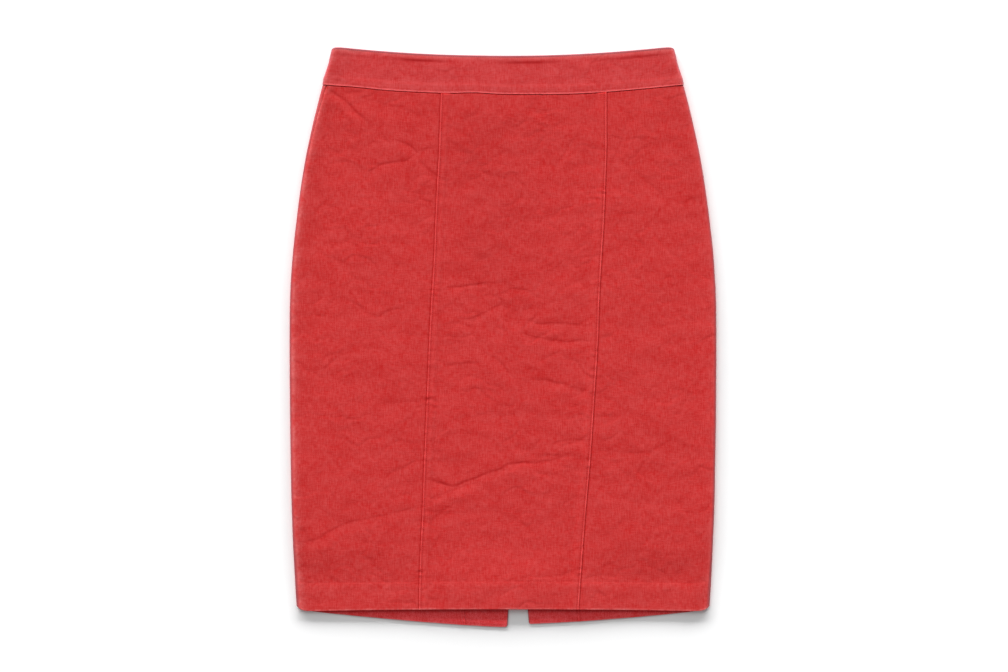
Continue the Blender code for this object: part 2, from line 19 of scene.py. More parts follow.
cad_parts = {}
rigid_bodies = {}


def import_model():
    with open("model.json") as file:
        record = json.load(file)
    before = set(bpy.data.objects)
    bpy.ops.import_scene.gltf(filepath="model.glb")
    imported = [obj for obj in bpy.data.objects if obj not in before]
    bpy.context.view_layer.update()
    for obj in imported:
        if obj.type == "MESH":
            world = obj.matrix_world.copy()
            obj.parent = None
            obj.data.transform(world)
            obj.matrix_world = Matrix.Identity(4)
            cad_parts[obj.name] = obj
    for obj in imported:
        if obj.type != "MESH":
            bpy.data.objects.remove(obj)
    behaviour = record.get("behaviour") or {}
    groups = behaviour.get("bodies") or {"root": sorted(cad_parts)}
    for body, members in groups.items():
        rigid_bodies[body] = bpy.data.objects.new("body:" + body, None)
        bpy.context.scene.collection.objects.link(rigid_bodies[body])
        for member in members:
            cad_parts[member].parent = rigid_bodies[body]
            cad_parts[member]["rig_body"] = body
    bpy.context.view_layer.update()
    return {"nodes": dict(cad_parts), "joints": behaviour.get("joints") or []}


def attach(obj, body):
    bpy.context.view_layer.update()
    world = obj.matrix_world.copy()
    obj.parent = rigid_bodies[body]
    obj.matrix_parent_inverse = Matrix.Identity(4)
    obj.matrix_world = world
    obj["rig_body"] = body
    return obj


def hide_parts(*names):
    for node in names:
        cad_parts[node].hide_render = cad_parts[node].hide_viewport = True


bl_info = {
    "name": "Pencil Skirt",
    "version": (1, 0, 0),
    "blender": (4, 5, 0),
    "location": "View3D > Sidebar > Skirt",
    "description": "Makes the cloth, stitching, zip and stage of a pencil skirt laid flat",
    "category": "Object",
}

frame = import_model()

MM = 0.001

# Cloth and edges
CLOTH = 1.0 * MM
BAND_WALL = 2.2 * MM
BAND_EDGE_WALL = 0.8 * MM  # the band's lower edge, a single folded cloth
HEM_DEPTH = 30 * MM
HEM_RISE, HEM_WAVE = 0.12 * MM, 0.08 * MM  # of the front over its turned layer, and of its edge
BLIND_IN, BLIND_PITCH, BLIND_SINK = 2 * MM, 8 * MM, 0.08 * MM  # the hem's blind stitches
TURNED = 0.6  # a turned layer is pressed to this share of the cloth's thickness
PRESSED, PRESSED_REACH = 0.35, 5 * MM  # how much thinner the hem is at its very edge
FACING_WIDTH = 40 * MM
STEP = 0.8 * MM  # the slope at the edge of a turned layer
ALLOWANCE = 7.5 * MM  # seam allowance pressed under a lapped edge
LAP_RISE = 0.40 * MM
LAP_DIP = 0.22 * MM  # how far the neighbour sinks beside a lapped edge
UNDER_REACH = 1.4 * MM  # how far it runs on beneath it
STITCH_IN = 2.2 * MM  # of the topstitching from an edge
STITCH_SINK = 0.04 * MM
WAIST_STITCH_UP = 1.9 * MM  # of the band's lower stitching above the waist seam
TICK_IN, TICK_LENGTH, TICK_RADIUS = 1.6 * MM, 2.4 * MM, 0.6 * MM  # along the top edge
STITCH_PROUD = 0.12 * MM  # how far the thread stands out
EDGE_ROUND = 0.3  # radius of a folded edge, as a share of its wall
# Painted light and shade: slopes that face the waist, towards the light, are painted paler, and
# slopes that face the hem darker.
PAINTED_SLOPE_LIGHT, PAINTED_SLOPE_SHADE = 1.2, 7.5
PAINTED_SLOPE_LIMIT = 0.08  # the steepest slope that still counts

# How the cloth lies
FOLD_SPREAD = 15 * MM
HEM_LOFT, HEM_LOFT_SIDE = 5.4 * MM, 3.7 * MM  # in the middle of the hem and near its corners
HEM_LOFT_REACH = 180 * MM
SPREAD = 0.4 * MM  # of the cloth beyond its solid's outline
HEM_RADIUS, HEM_RADIUS_REACH = 1.85 * MM, 110 * MM  # the side folds are pressed flatter there
ROOM = 0.2 * MM  # between the underside and the table, away from the folds
SLACK = 0.08 * MM  # least air between the layers
Layer = namedtuple("Layer", "radius loft wall")
PANELS = Layer(3.0 * MM, 4.6 * MM, CLOTH)
BAND = Layer(3.3 * MM, 5.5 * MM, BAND_WALL)

# The skirt from hem to waist. y: height. half_width: from the middle to the outline.
# seam_left, seam_right: the front panel seams. wrap_left, wrap_right: how far the front
# runs past the start of each side fold before it meets the back.
Level = namedtuple("Level", "y half_width seam_left seam_right wrap_left wrap_right")
LEVELS = [
    Level(*(value * MM for value in row))
    for row in (
        (-320, 225.2, -92.6, 82.2, 8.3, -1.0),
        (-302, 226.4, -92.4, 83.1, 8.3, -1.0),
        (-250, 229.5, -91.5, 86.6, 8.0, 1.4),
        (-201, 231.7, -89.1, 90.2, 6.5, 6.0),
        (-135, 233.2, -86.6, 96.0, 6.0, 13.0),
        (-69, 234.1, -83.9, 100.4, 6.0, 21.8),
        (-3, 234.4, -81.2, 104.5, 6.0, 28.7),
        (41, 234.0, -78.9, 106.0, 6.0, 32.5),
        (85, 231.6, -76.1, 108.4, 5.5, 37.0),
        (129, 227.0, -74.4, 111.1, 4.3, 41.0),
        (173, 220.9, -72.2, 112.8, 2.5, 43.5),
        (206, 215.1, -70.4, 113.9, 1.0, 45.0),
        (239, 207.9, -69.3, 113.9, 0.0, 45.5),
        (276, 198.5, -68.0, 114.0, -1.5, 46.0),
        (299, 192.2, -67.5, 114.0, -2.0, 46.0),
        (322, 184.6, -67.0, 114.0, -2.0, 46.0),
    )
]

# Hem, waist seam and top edge, in the middle of the skirt and how much they curve
HEM_Y, HEM_ARCH = -299.3 * MM, 2.1 * MM
WAIST_Y, WAIST_ARCH = 267.5 * MM, 10.2 * MM
TOP_Y, TOP_ARCH = 309.7 * MM, 10.0 * MM
ARCH_HALF = 210 * MM, 198 * MM, 183 * MM
BACK_TOP_LOWER = 1.0 * MM
# The waist seam wanders: where along the cloth, how far it reaches, how far up it goes
WAIST_WANDER = ((-165, 25, 1.0), (-32, 18, 1.2), (85, 60, -1.2))
# The band stands out a little at its two edges: at what height, how far it reaches, how much
BAND_FLARE = ((285, 9, 1.1), (318, 13, 1.7))
HEM_CORNER, TOP_CORNER, SLIT_CORNER = 6.0 * MM, 3.6 * MM, 2.4 * MM
CORNER_SOFT = 4.5 * MM
# How far the back's hem hangs below the front's on each side, and how late that fades sideways
BACK_DROP = {-1: (19.7 * MM, 1.35), 1: (17.0 * MM, 1.6)}
DROP_REACH = 214 * MM
EDGE_ZONE = 40 * MM  # rows this near the hem run parallel to it
HEM_FADE, WAIST_FADE = 120 * MM, 80 * MM  # rows turn level over this much further on
BAND_COVER = 2.2 * MM  # how far the panels run up under the band
WAIST_RISE, WAIST_REACH = 0.45 * MM, 90 * MM  # the panels rise to the band
BAND_FALL = 0.35 * MM  # and the band comes down to them
BAND_WAVE, BAND_PULL = 0.07 * MM, 0.03 * MM  # its unevenness, and the pull of its stitching
BAND_TURN, BAND_TURN_DEPTH = 0.12 * MM, 6.5 * MM  # the allowance turned in at its top edge
WAIST_TURN, WAIST_TURN_DEPTH = 0.08 * MM, 8 * MM  # and the one pressed up into it at the waist
WAIST_SINK = 0.65 * MM  # of the panels' own edge at the seam

# Centre back, slit and zip
BACK_WAIST = -23.7 * MM, 276 * MM
SLIT_TOP = 15.5 * MM, -156 * MM
SLIT_EDGES = {-1: 5.0 * MM, 1: 28.6 * MM}  # x of the slit's edges at the hem
SLIT_FOOT_Y = -317 * MM
BACK_SEAMS = {-1: (-95.7 * MM, -42.9 * MM), 1: (48.3 * MM, 84.7 * MM)}  # x at waist, hem
ZIP_LENGTH = 180 * MM
ZIP_GAP = 1.4 * MM
SEWN_GAP = 0.02 * MM  # on each side of the centre back seam below the zip
ZIP_TAPE_HALF = 11 * MM
BAND_SEAM_TURN = 0.9  # the band's left seam is this far round the fold
# The slider and pull tab lift the back of the band, and the front rises over them
LIFT = 2.7 * MM
LIFT_HALF, LIFT_FADE = 4.0 * MM, 12 * MM
LIFT_LOW, LIFT_LOW_FADE = 282 * MM, 13 * MM
BUMP, BUMP_WIDTH = 2.9 * MM, 48 * MM
BUMP_LOW, BUMP_LOW_FADE = 284 * MM, 270 * MM

# Creases: a trough along a path of (x, y), soft on its left side and ridged on its right,
# in millimetres. Paths run left to right, so the ridge lies below.
Crease = namedtuple("Crease", "depth width ridge path")
FRONT_CREASES = [Crease(*row) for row in (
    # the long crease across the thighs, its fork and its run to the left side
    (1.45, 4.6, 0.8, ((-82, -157), (-73, -158), (-59, -163), (-46, -161), (-20, -151), (2, -144))),
    (1.25, 4.2, 0.6, ((-6, -147), (8, -139), (32, -138), (52, -136))),
    (0.6, 3.4, 0.5, ((46, -137), (60, -133), (80, -126))),
    (0.7, 4.0, 0.4, ((52, -120), (64, -114), (78, -113), (96, -114))),
    (0.7, 3.4, 0.9, ((-82, -180), (-66, -172), (-50, -166), (-28, -160))),
    (0.8, 5.5, 0.3, ((-80, -206), (-74, -198), (-62, -192), (-42, -193))),
    (0.9, 3.6, 0.8, ((-222, -226), (-205, -222), (-185, -210), (-156, -201), (-128, -195))),
    (0.5, 3.2, 0.6, ((-132, -196), (-108, -190), (-84, -184))),
    # below the waistband on the left, and the knot beside the seam
    (1.5, 3.6, 0.6, ((-192, 272), (-186, 269), (-174, 261), (-155, 242), (-146, 234))),
    (0.8, 5.0, 0.2, ((-176, 270), (-155, 270))),
    (0.9, 7.5, 0.6, ((-162, 266), (-130, 256), (-103, 249), (-74, 236))),
    (0.7, 2.6, 0.3, ((-134, 226), (-129, 217), (-123, 209))),
    (1.3, 3.0, 0.5, ((-122, 216), (-108, 214), (-97, 206), (-93, 203))),
    (0.7, 2.8, 0.3, ((-94, 205), (-86, 207), (-76, 209))),
    (1.2, 3.2, 0.7, ((-148, 182), (-136, 188), (-123, 193), (-108, 194), (-95, 203))),
    (0.8, 3.0, 0.4, ((-96, 200), (-81, 184), (-60, 169))),
    (0.5, 2.8, 0.2, ((-82, 186), (-75, 172), (-73, 158))),
    (0.35, 3.0, 0.2, ((-110, 163), (-92, 158), (-75, 157), (-52, 153))),
    (0.35, 2.8, 0.2, ((-70, 211), (-52, 207))),
    (0.5, 3.6, 0.3, ((-54, 162), (-35, 173), (-12, 184))),
    (0.3, 2.6, 0.15, ((-53, 250), (-53, 216))),
    (0.3, 3.0, 0.15, ((-21, 246), (-15, 222))),
    # down the left side
    (0.5, 4.5, 0.2, ((-198, 120), (-185, 94), (-167, 72), (-152, 44))),
    (0.25, 3.0, 0.4, ((-174, -12), (-178, 10), (-187, 63), (-203, 122))),
    (0.4, 3.5, 0.2, ((-200, -24), (-182, -14))),
    (0.4, 4.5, 0.2, ((-149, -5), (-125, 4), (-99, 3), (-80, 2))),
    (0.5, 5.5, 0.3, ((-138, -74), (-110, -71), (-84, -71))),
    (0.25, 3.5, 0.1, ((-134, -84), (-131, -115))),
    (0.25, 3.5, 0.1, ((-127, -124), (-122, -160))),
    (0.4, 6.0, 0.1, ((-196, -244), (-190, -258), (-189, -274))),
    # across the middle of the centre gore
    (1.1, 3.0, 0.5, ((-72, 51), (-55, 55), (-42, 57), (-15, 59), (2, 60))),
    (1.0, 2.8, 0.5, ((-6, 47), (10, 53), (25, 52), (43, 43))),
    (0.8, 3.0, 0.4, ((-55, 12), (-42, 20), (-31, 22), (-12, 32), (4, 38))),
    (0.4, 3.0, 0.2, ((-34, 82), (-13, 91))),
    (0.4, 3.0, 0.2, ((41, 34), (52, 38), (63, 39))),
    (1.1, 2.8, 0.5, ((30, 18), (40, 15), (63, 15), (100, 12))),
    (1.1, 2.8, 0.6, ((20, 5), (36, 0), (63, -4), (85, -4), (103, -3))),
    (0.7, 3.4, 0.5, ((-26, -13), (-3, -27), (8, -40), (18, -54))),
    (0.4, 2.8, 0.2, ((19, -32), (38, -37))),
    (1.0, 3.0, 0.4, ((33, -45), (52, -48), (72, -52))),
    (0.6, 3.0, 0.3, ((68, -51), (84, -58), (100, -63))),
    (0.35, 3.5, 0.2, ((80, -78), (95, -104))),
    (0.4, 3.0, 0.3, ((70, -161), (96, -161))),
    (0.4, 3.0, 0.3, ((78, -192), (93, -204))),
    # between the waistband and the right seam
    (0.35, 2.8, 0.2, ((51, 241), (52, 222))),
    (0.5, 4.0, 0.3, ((91, 246), (89, 224), (89, 195), (91, 170))),
    (0.6, 3.2, 0.7, ((48, 172), (60, 190), (72, 211), (86, 226))),
    (0.8, 4.5, 0.7, ((117, 156), (120, 191), (129, 213), (140, 250))),
    (0.6, 3.0, 0.3, ((78, 86), (94, 89), (108, 91))),
    (0.5, 3.5, 0.2, ((84, 77), (86, 64), (90, 50))),
    (0.3, 3.0, 0.15, ((-8, 198), (4, 205), (16, 198))),
    # on the right gore
    (0.5, 3.2, 0.3, ((190, 29), (201, 21), (216, 16))),
    (0.35, 3.0, 0.1, ((192, 171), (198, 143))),
    (0.7, 3.4, 0.4, ((104, -125), (133, -126), (160, -126), (173, -119), (186, -113))),
    (0.7, 4.0, 0.3, ((198, -112), (206, -135), (217, -157), (220, -176))),
    (0.5, 7.0, 0.1, ((216, -36), (213, -62), (214, -94))),
    (0.5, 7.0, 0.1, ((205, -168), (203, -190), (207, -220))),
    (0.4, 5.0, 0.2, ((200, -228), (199, -270))),
    (0.4, 5.0, 0.2, ((94, -262), (112, -252), (129, -245), (140, -237))),
    (0.5, 3.4, 0.3, ((54, -270), (74, -256), (86, -255))),
)]
BACK_CREASES = [Crease(*row) for row in (
    (0.45, 5.0, 0.0, ((-205, -178), (-150, -160), (-104, -166))),
    (0.5, 4.5, 0.0, ((-70, -120), (-30, -108), (8, -112))),
    (0.35, 4.0, 0.0, ((-196, 60), (-150, 44), (-96, 50))),
    (0.4, 4.0, 0.0, ((-60, 30), (-20, 44), (0, 40))),
    (0.45, 5.0, 0.0, ((66, 22), (110, 30), (176, 10))),
    (0.4, 4.0, 0.0, ((20, -30), (44, -40), (60, -38))),
    (0.45, 4.5, 0.0, ((84, -96), (140, -120), (206, -110))),
    (0.35, 4.0, 0.0, ((-160, 210), (-130, 190), (-92, 196))),
    (0.4, 4.5, 0.0, ((70, 226), (104, 206), (150, 214))),
    (0.35, 5.0, 0.0, ((-212, -40), (-204, -96), (-208, -150))),
    (0.35, 5.0, 0.0, ((212, 90), (216, 30), (210, -40))),
    (0.4, 5.0, 0.0, ((-150, -236), (-110, -226), (-60, -232))),
    (0.4, 5.0, 0.0, ((96, -236), (150, -222), (196, -232))),
)]
# A trough drops in a narrow and a wide slope on its left side, and rises in a round one
# on its right: how wide each is, in widths of the crease, and the narrow slope's share.
NARROW_SLOPE, WIDE_SLOPE, ROUND_SLOPE = 0.30, 1.8, 2.8
NARROW_SHARE = 0.62
RIDGE_OFF, RIDGE_WIDTH = 2.8, 2.4
CREASE_REACH = 7  # widths
CREASE_WANDER, WANDER_SIZE = 1.3 * MM, 13 * MM  # of a crease off its path
UNEVEN, UNEVEN_SIZE = 0.35, 17 * MM  # how much its depth varies along it

# Puckers beside the front seams, in millimetres: which seam, at what height and how far up and
# down, how far they reach inward, how high they are and how far apart
Pucker = namedtuple("Pucker", "side y spread reach height pitch")
PUCKERS = [Pucker(*row) for row in (
    (-1, -72, 13, 11, 0.40, 8.0),
    (-1, 48, 20, 8, 0.16, 7.0),
    (-1, -20, 26, 8, 0.16, 9.0),
    (-1, -122, 16, 10, 0.28, 9.0),
    (-1, -208, 22, 7, 0.24, 11.0),
    (-1, -262, 16, 7, 0.32, 9.0),
    (1, 153, 18, 13, 0.26, 7.5),
    (1, 60, 30, 8, 0.14, 9.0),
    (1, -30, 24, 8, 0.18, 9.5),
    (1, -150, 30, 9, 0.20, 11.0),
    (1, -248, 22, 8, 0.28, 10.0),
)]
PUCKER_SHARE = 0.42  # of their height that is left after pressing
PUCKER_UNDER = 0.5  # of that, in the gore beneath the seam

# What each sheet is cut to, in metres and square metres, and what it lies on
Cut = namedtuple("Cut", "width length area rests_on")
CUTS = {
    "back_side_left": Cut(0.195, 0.625, 0.105, "floor"),
    "back_side_right": Cut(0.187, 0.622, 0.094, "floor"),
    "back_centre_left": Cut(0.112, 0.634, 0.048, "floor"),
    "back_centre_right": Cut(0.108, 0.630, 0.044, "floor"),
    "front_centre": Cut(0.212, 0.612, 0.121, "back_centre_left"),
    "front_side_left": Cut(0.174, 0.616, 0.095, "back_side_left"),
    "front_side_right": Cut(0.176, 0.614, 0.094, "back_side_right"),
    "waistband_front": Cut(0.440, 0.060, 0.0190, "front_centre"),
    "waistband_back_left": Cut(0.190, 0.056, 0.0075, "floor"),
    "waistband_back_right": Cut(0.200, 0.056, 0.0080, "floor"),
}

# Spacing of the meshes
FRONT_STEP, BACK_STEP, BAND_STEP = 1.25 * MM, 3.0 * MM, 1.3 * MM
HEM_ROWS = np.array([0, 0.06, 0.16, 0.32, 0.55, 0.85, 1.25, 1.8, 2.6, 3.6, 4.8]) * MM
TURN_ROWS = np.array([-1.2, -0.4, 0, 0.4, 0.8, 1.6]) * MM  # across a turned layer's edge
SEAM_ROWS = np.array([-3.2, -2.4, -1.7, -1.2, -0.8, -0.4, 0, 0.6]) * MM  # across the waist seam
BAND_ROWS = np.array([0, 0.06, 0.18, 0.38, 0.65, 1.0, 1.5, 2.1, 2.8, 3.6, 4.6, 5.8]) * MM
INNER_KEEP = 5  # the hidden inner face keeps one row and column in this many
SEAM_POINTS = 400  # along a line of stitches
STITCH_SIDES, STITCH_RINGS = 6, 5
LATTICE = 256


# --- small helpers -------------------------------------------------------------------


def smooth(t):
    """0 below 0, 1 above 1, and a soft step between."""
    t = np.clip(t, 0.0, 1.0)
    return t * t * (3 - 2 * t)


def mix(a, b, t):
    return a + (b - a) * t


def hill(distance, width):
    """1 at no distance, and soft down to 0 over about twice the width."""
    return np.exp(-((distance / width) ** 2))


def at(column, y):
    """A column of LEVELS at heights y, on a smooth curve through the rows."""
    heights = np.array([row.y for row in LEVELS])
    values = np.array([getattr(row, column) for row in LEVELS])
    last = len(LEVELS) - 1
    y = np.asarray(y, float)
    i = np.clip(np.searchsorted(heights, y, side="right") - 1, 0, last - 1)
    before, after = np.maximum(i - 1, 0), np.minimum(i + 2, last)
    y1, y2, v1, v2 = heights[i], heights[i + 1], values[i], values[i + 1]
    span = y2 - y1
    t = np.clip((y - y1) / span, 0, 1)
    slope1 = (v2 - values[before]) / (y2 - heights[before]) * span
    slope2 = (values[after] - v1) / (heights[after] - y1) * span
    return (
        v1 * (1 + t * t * (2 * t - 3))
        + v2 * t * t * (3 - 2 * t)
        + slope1 * t * (1 - t) ** 2
        + slope2 * t * t * (t - 1)
    )


def ripples(x, y, size, seed):
    """Smooth noise, about -1 to 1, whose bumps are size across."""
    turns = np.random.default_rng(seed).uniform(0, 2 * math.pi, (LATTICE, LATTICE))
    u, v = np.broadcast_arrays(x / size + LATTICE / 2, y / size + LATTICE / 2)
    i, j = np.floor(u).astype(int), np.floor(v).astype(int)
    du, dv = u - i, v - j

    def pull(a, b):
        angle = turns[(i + a) % LATTICE, (j + b) % LATTICE]
        return np.cos(angle) * (du - a) + np.sin(angle) * (dv - b)

    across_u = du**3 * (du * (du * 6 - 15) + 10)
    across_v = dv**3 * (dv * (dv * 6 - 15) + 10)
    low = mix(pull(0, 0), pull(1, 0), across_u)
    high = mix(pull(0, 1), pull(1, 1), across_u)
    return 1.4 * mix(low, high, across_v)


# --- where the cloth lies ------------------------------------------------------------


def back_centre(y):
    (x0, y0), (x1, y1) = BACK_WAIST, SLIT_TOP
    return mix(x0, x1, (y - y0) / (y1 - y0))


def slit_edge(side, y):
    (x, top), foot = SLIT_TOP, SLIT_EDGES[side]
    return np.where(y > top, back_centre(y), mix(x, foot, (top - y) / (top - SLIT_FOOT_Y)))


def zip_lift(x, y):
    """How far the pull tab and slider lift the back of the waistband."""
    beside = (np.abs(x - back_centre(y)) - LIFT_HALF) / LIFT_FADE
    return LIFT * (1 - smooth(beside)) * smooth((y - LIFT_LOW) / LIFT_LOW_FADE + 1)


def zip_bump(x, y):
    return BUMP * hill(x - back_centre(y), BUMP_WIDTH) * smooth((y - BUMP_LOW) / BUMP_LOW_FADE + 1)


def outline_half(y, layer):
    """From the middle to the outline."""
    half = at("half_width", y) + SPREAD
    if layer is BAND:
        half = half + sum(out * MM * hill(y - up * MM, reach * MM) for up, reach, out in BAND_FLARE)
    return half


def fold_radius(y, layer):
    if layer is BAND:
        return layer.radius
    return mix(HEM_RADIUS, layer.radius, smooth((y - HEM_Y) / HEM_RADIUS_REACH))


def flat_half(y, layer):
    """|s| where the side folds start."""
    return outline_half(y, layer) - fold_radius(y, layer)


def fold_end(y, layer):
    """|s| where they end, on the underside."""
    return flat_half(y, layer) + math.pi * fold_radius(y, layer)


def across(s, y, layer):
    """x of places, and how far round they are: 0 on the front, 1 on the underside."""
    flat, radius = flat_half(y, layer), fold_radius(y, layer)
    past = np.abs(s) - flat
    turn = np.clip(past / (math.pi * radius), 0, 1)
    off_front = flat + radius * np.sin(turn * math.pi)
    x = np.sign(s) * np.where(turn < 1, off_front, flat - past + math.pi * radius)
    return np.where(past <= 0, s, x), turn


def under_place(x, y, side, layer):
    """s of the place on the underside at x, reached round the given side."""
    return side * (flat_half(y, layer) + fold_end(y, layer)) - x


def corner(x, y, size, layer):
    return size * np.exp(-(outline_half(y, layer) - np.abs(x)) / CORNER_SOFT)


def rounded(distance, radius):
    """How far a quarter round cuts in, at a distance from the edge."""
    inward = np.clip(1 - distance / radius, 0, 1)
    return radius * (1 - np.sqrt(1 - inward**2))


def back_drop(s, x):
    """How far the back's hem lies below the front's."""
    drops = [
        drop * np.maximum(0.0, 1 - (np.abs(x) / DROP_REACH) ** power)
        for drop, power in (BACK_DROP[-1], BACK_DROP[1])
    ]
    return np.where(s < 0, *drops)


def hem_line(s, layer):
    y = HEM_Y
    for _ in range(3):  # which x a place has depends on its own height
        x, turn = across(s, y, layer)
        front = HEM_Y - HEM_ARCH * (x / ARCH_HALF[0]) ** 2
        y = front - back_drop(s, x) * turn + corner(x, HEM_Y, HEM_CORNER, layer)
    return y


def waist_line(s, layer):
    x, _ = across(s, WAIST_Y, layer)
    wander = sum(up * MM * hill(s - place * MM, reach * MM) for place, reach, up in WAIST_WANDER)
    return WAIST_Y + WAIST_ARCH * (x / ARCH_HALF[1]) ** 2 + wander


def top_line(s, layer):
    x, turn = across(s, TOP_Y, layer)
    rise = TOP_ARCH * (x / ARCH_HALF[2]) ** 2
    return TOP_Y + rise - BACK_TOP_LOWER * turn - corner(x, TOP_Y, TOP_CORNER, layer)


def doubled_under(x, y):
    """How much thicker the back is where its hem or the slit's facings double it, in cloths."""
    hem = 1 - smooth((y - HEM_Y - HEM_DEPTH) / STEP)
    beside = np.maximum(slit_edge(-1, y) - x, x - slit_edge(1, y)) - FACING_WIDTH
    facing = (1 - smooth(beside / (4 * STEP))) * (1 - smooth((y - SLIT_TOP[1]) / STEP))
    return TURNED * np.maximum(hem, facing)


def front_height(x, y, layer):
    """The front's outer face above the table, before its creases."""
    height = layer.loft
    if layer is PANELS:
        hem = 1 - smooth((y - HEM_Y - HEM_DEPTH) / EDGE_ZONE)
        at_hem = mix(HEM_LOFT, HEM_LOFT_SIDE, smooth(np.abs(x) / HEM_LOFT_REACH))
        height = mix(height, at_hem, hem) + WAIST_RISE * smooth(1 - (WAIST_Y - y) / WAIST_REACH)
    near_fold = hill(flat_half(y, layer) - np.abs(x), FOLD_SPREAD)
    return mix(height, 2 * fold_radius(y, layer), near_fold) + zip_bump(x, y)


def lay(s, y, layer, relief, depth, wall):
    """Points at places (s, y): relief stands out from the lie of the cloth, depth sinks in."""
    x, turn = across(s, y, layer)
    side, flat, radius = np.sign(s), flat_half(y, layer), fold_radius(y, layer)
    under = zip_lift(x, y) + ROOM + CLOTH * (1 + doubled_under(x, y))
    front = np.maximum(front_height(x, y, layer) + relief, under + SLACK + wall) - depth
    angle, reach = turn * math.pi, radius + relief - depth
    arc_x, arc_z = side * (flat + reach * np.sin(angle)), radius + reach * np.cos(angle)
    past = np.abs(s) - flat - math.pi * radius
    below = zip_lift(x, y) + ROOM * smooth(past / FOLD_SPREAD) - relief + depth
    on_arc = (turn > 0) & (turn < 1)
    z = np.where(turn <= 0, front, np.where(on_arc, arc_z, below))
    return np.stack([np.where(on_arc, arc_x, x), y + 0 * x, np.maximum(z, depth)], -1)


# --- creases and ripples -------------------------------------------------------------


def bent_path(path, steps=6):
    """Points on a smooth curve through a path's own points, in metres."""
    points = [np.array(p, float) * MM for p in path]
    points = [2 * points[0] - points[1], *points, 2 * points[-1] - points[-2]]
    curve = []
    for a, b, c, d in zip(points, points[1:], points[2:], points[3:]):
        for t in np.linspace(0, 1, steps, endpoint=False):
            bend = 2 * b + (c - a) * t + (2 * a - 5 * b + 4 * c - d) * t**2
            curve.append((bend + (3 * b - a - 3 * c + d) * t**3) / 2)
    return [*curve, points[-2]]


def beside_path(path, x, y):
    """How far points are to the left of a path, and how far along it, 0 to 1."""
    curve = bent_path(path)
    nearest = np.full(x.shape, np.inf)
    left, along = np.zeros(x.shape), np.zeros(x.shape)
    for i, (start, end) in enumerate(zip(curve, curve[1:])):
        run = end - start
        dx, dy = x - start[0], y - start[1]
        t = np.clip((dx * run[0] + dy * run[1]) / (run @ run), 0, 1)
        off_x, off_y = dx - t * run[0], dy - t * run[1]
        distance = np.hypot(off_x, off_y)
        better = distance < nearest
        nearest = np.where(better, distance, nearest)
        left = np.where(better, np.copysign(distance, run[0] * off_y - run[1] * off_x), left)
        along = np.where(better, (i + t) / (len(curve) - 1), along)
    return left, along


def creased(x, y, creases, strength):
    """What the creases add to the cloth's height, and the painted shade in their cores."""
    shape = x.shape
    x, y = x.ravel(), y.ravel()
    warped_x = x + CREASE_WANDER * ripples(x, y, WANDER_SIZE, 21)
    warped_y = y + CREASE_WANDER * ripples(x, y, WANDER_SIZE, 22)
    uneven = 1 + UNEVEN * ripples(x, y, UNEVEN_SIZE, 23)
    total, crease_shade = np.zeros(x.shape), np.zeros(x.shape)
    for crease in creases:
        width = crease.width * MM
        reach = CREASE_REACH * width
        low = np.min(crease.path, 0) * MM - reach
        high = np.max(crease.path, 0) * MM + reach
        near = (x > low[0]) & (x < high[0]) & (y > low[1]) & (y < high[1])
        if not near.any():
            continue
        left, along = beside_path(crease.path, warped_x[near], warped_y[near])
        fade = np.sin(math.pi * mix(0.06, 0.94, along)) ** 0.8 * uneven[near]
        off = np.abs(left) / width
        drop = mix(np.exp(-off / WIDE_SLOPE), np.exp(-off / NARROW_SLOPE), NARROW_SHARE)
        trough = np.where(left > 0, drop, np.exp(-((off / ROUND_SLOPE) ** 1.3)))
        ridge = hill(left + RIDGE_OFF * width, RIDGE_WIDTH * width)
        total[near] += strength * fade * (crease.ridge * ridge - crease.depth * trough) * MM
        # painted shade along the core of the trough
        crease_shade[near] += fade * crease.depth * hill(left - 0.15 * width, 0.25 * width)
    return total.reshape(shape), crease_shade.reshape(shape)


def crumpled(x, y, size, seed):
    """A broken net of fine creases, about size apart."""
    line = ripples(x, y, size, seed) + 0.25 * ripples(x, y, size / 2.7, seed + 1)
    kept = smooth(0.5 + 1.4 * ripples(x, y, size * 1.7, seed + 2))
    return kept * (np.exp(-np.abs(line) / 0.10) - 0.6 * np.exp(-np.abs(line - 0.2) / 0.16))


def rippled(x, y, height):
    """Low unevenness of washed cloth that has dried flat."""
    broad = 0.50 * ripples(x, y, 60 * MM, 1) + 0.30 * ripples(x, y * 1.4, 27 * MM, 2)
    fine = 0.14 * ripples(x, y, 11 * MM, 3) + 0.05 * ripples(x, y, 5 * MM, 4)
    net = 0.26 * crumpled(x, y * 1.3, 38 * MM, 5) + 0.13 * crumpled(x, y, 19 * MM, 8)
    return height * (broad + fine - net)


# --- edges of a piece ----------------------------------------------------------------


def edge_relief(kind, d):
    """How a seam or edge lifts the cloth at distance d inside it, below 0 past the seam."""
    if kind == "lapped":
        rise = LAP_RISE * (1 - smooth((d - ALLOWANCE + 1 * MM) / (5 * MM)))
        return rise - STITCH_SINK * hill(d - STITCH_IN, 0.7 * MM)
    if kind == "under":
        return -LAP_DIP * hill(np.maximum(d, 0), 2.0 * MM) - 0.6 * MM * smooth(-d / UNDER_REACH)
    if kind == "plain":
        return -0.2 * MM * hill(d, 0.9 * MM) + 0.10 * MM * hill(d - 4 * MM, 4 * MM)
    return 0 * d


def edge_tuck(kind, d, wall):
    """How far a folded edge pulls each face in towards the middle of the wall."""
    return rounded(d, EDGE_ROUND * wall) if kind in ("lapped", "folded") else 0 * d


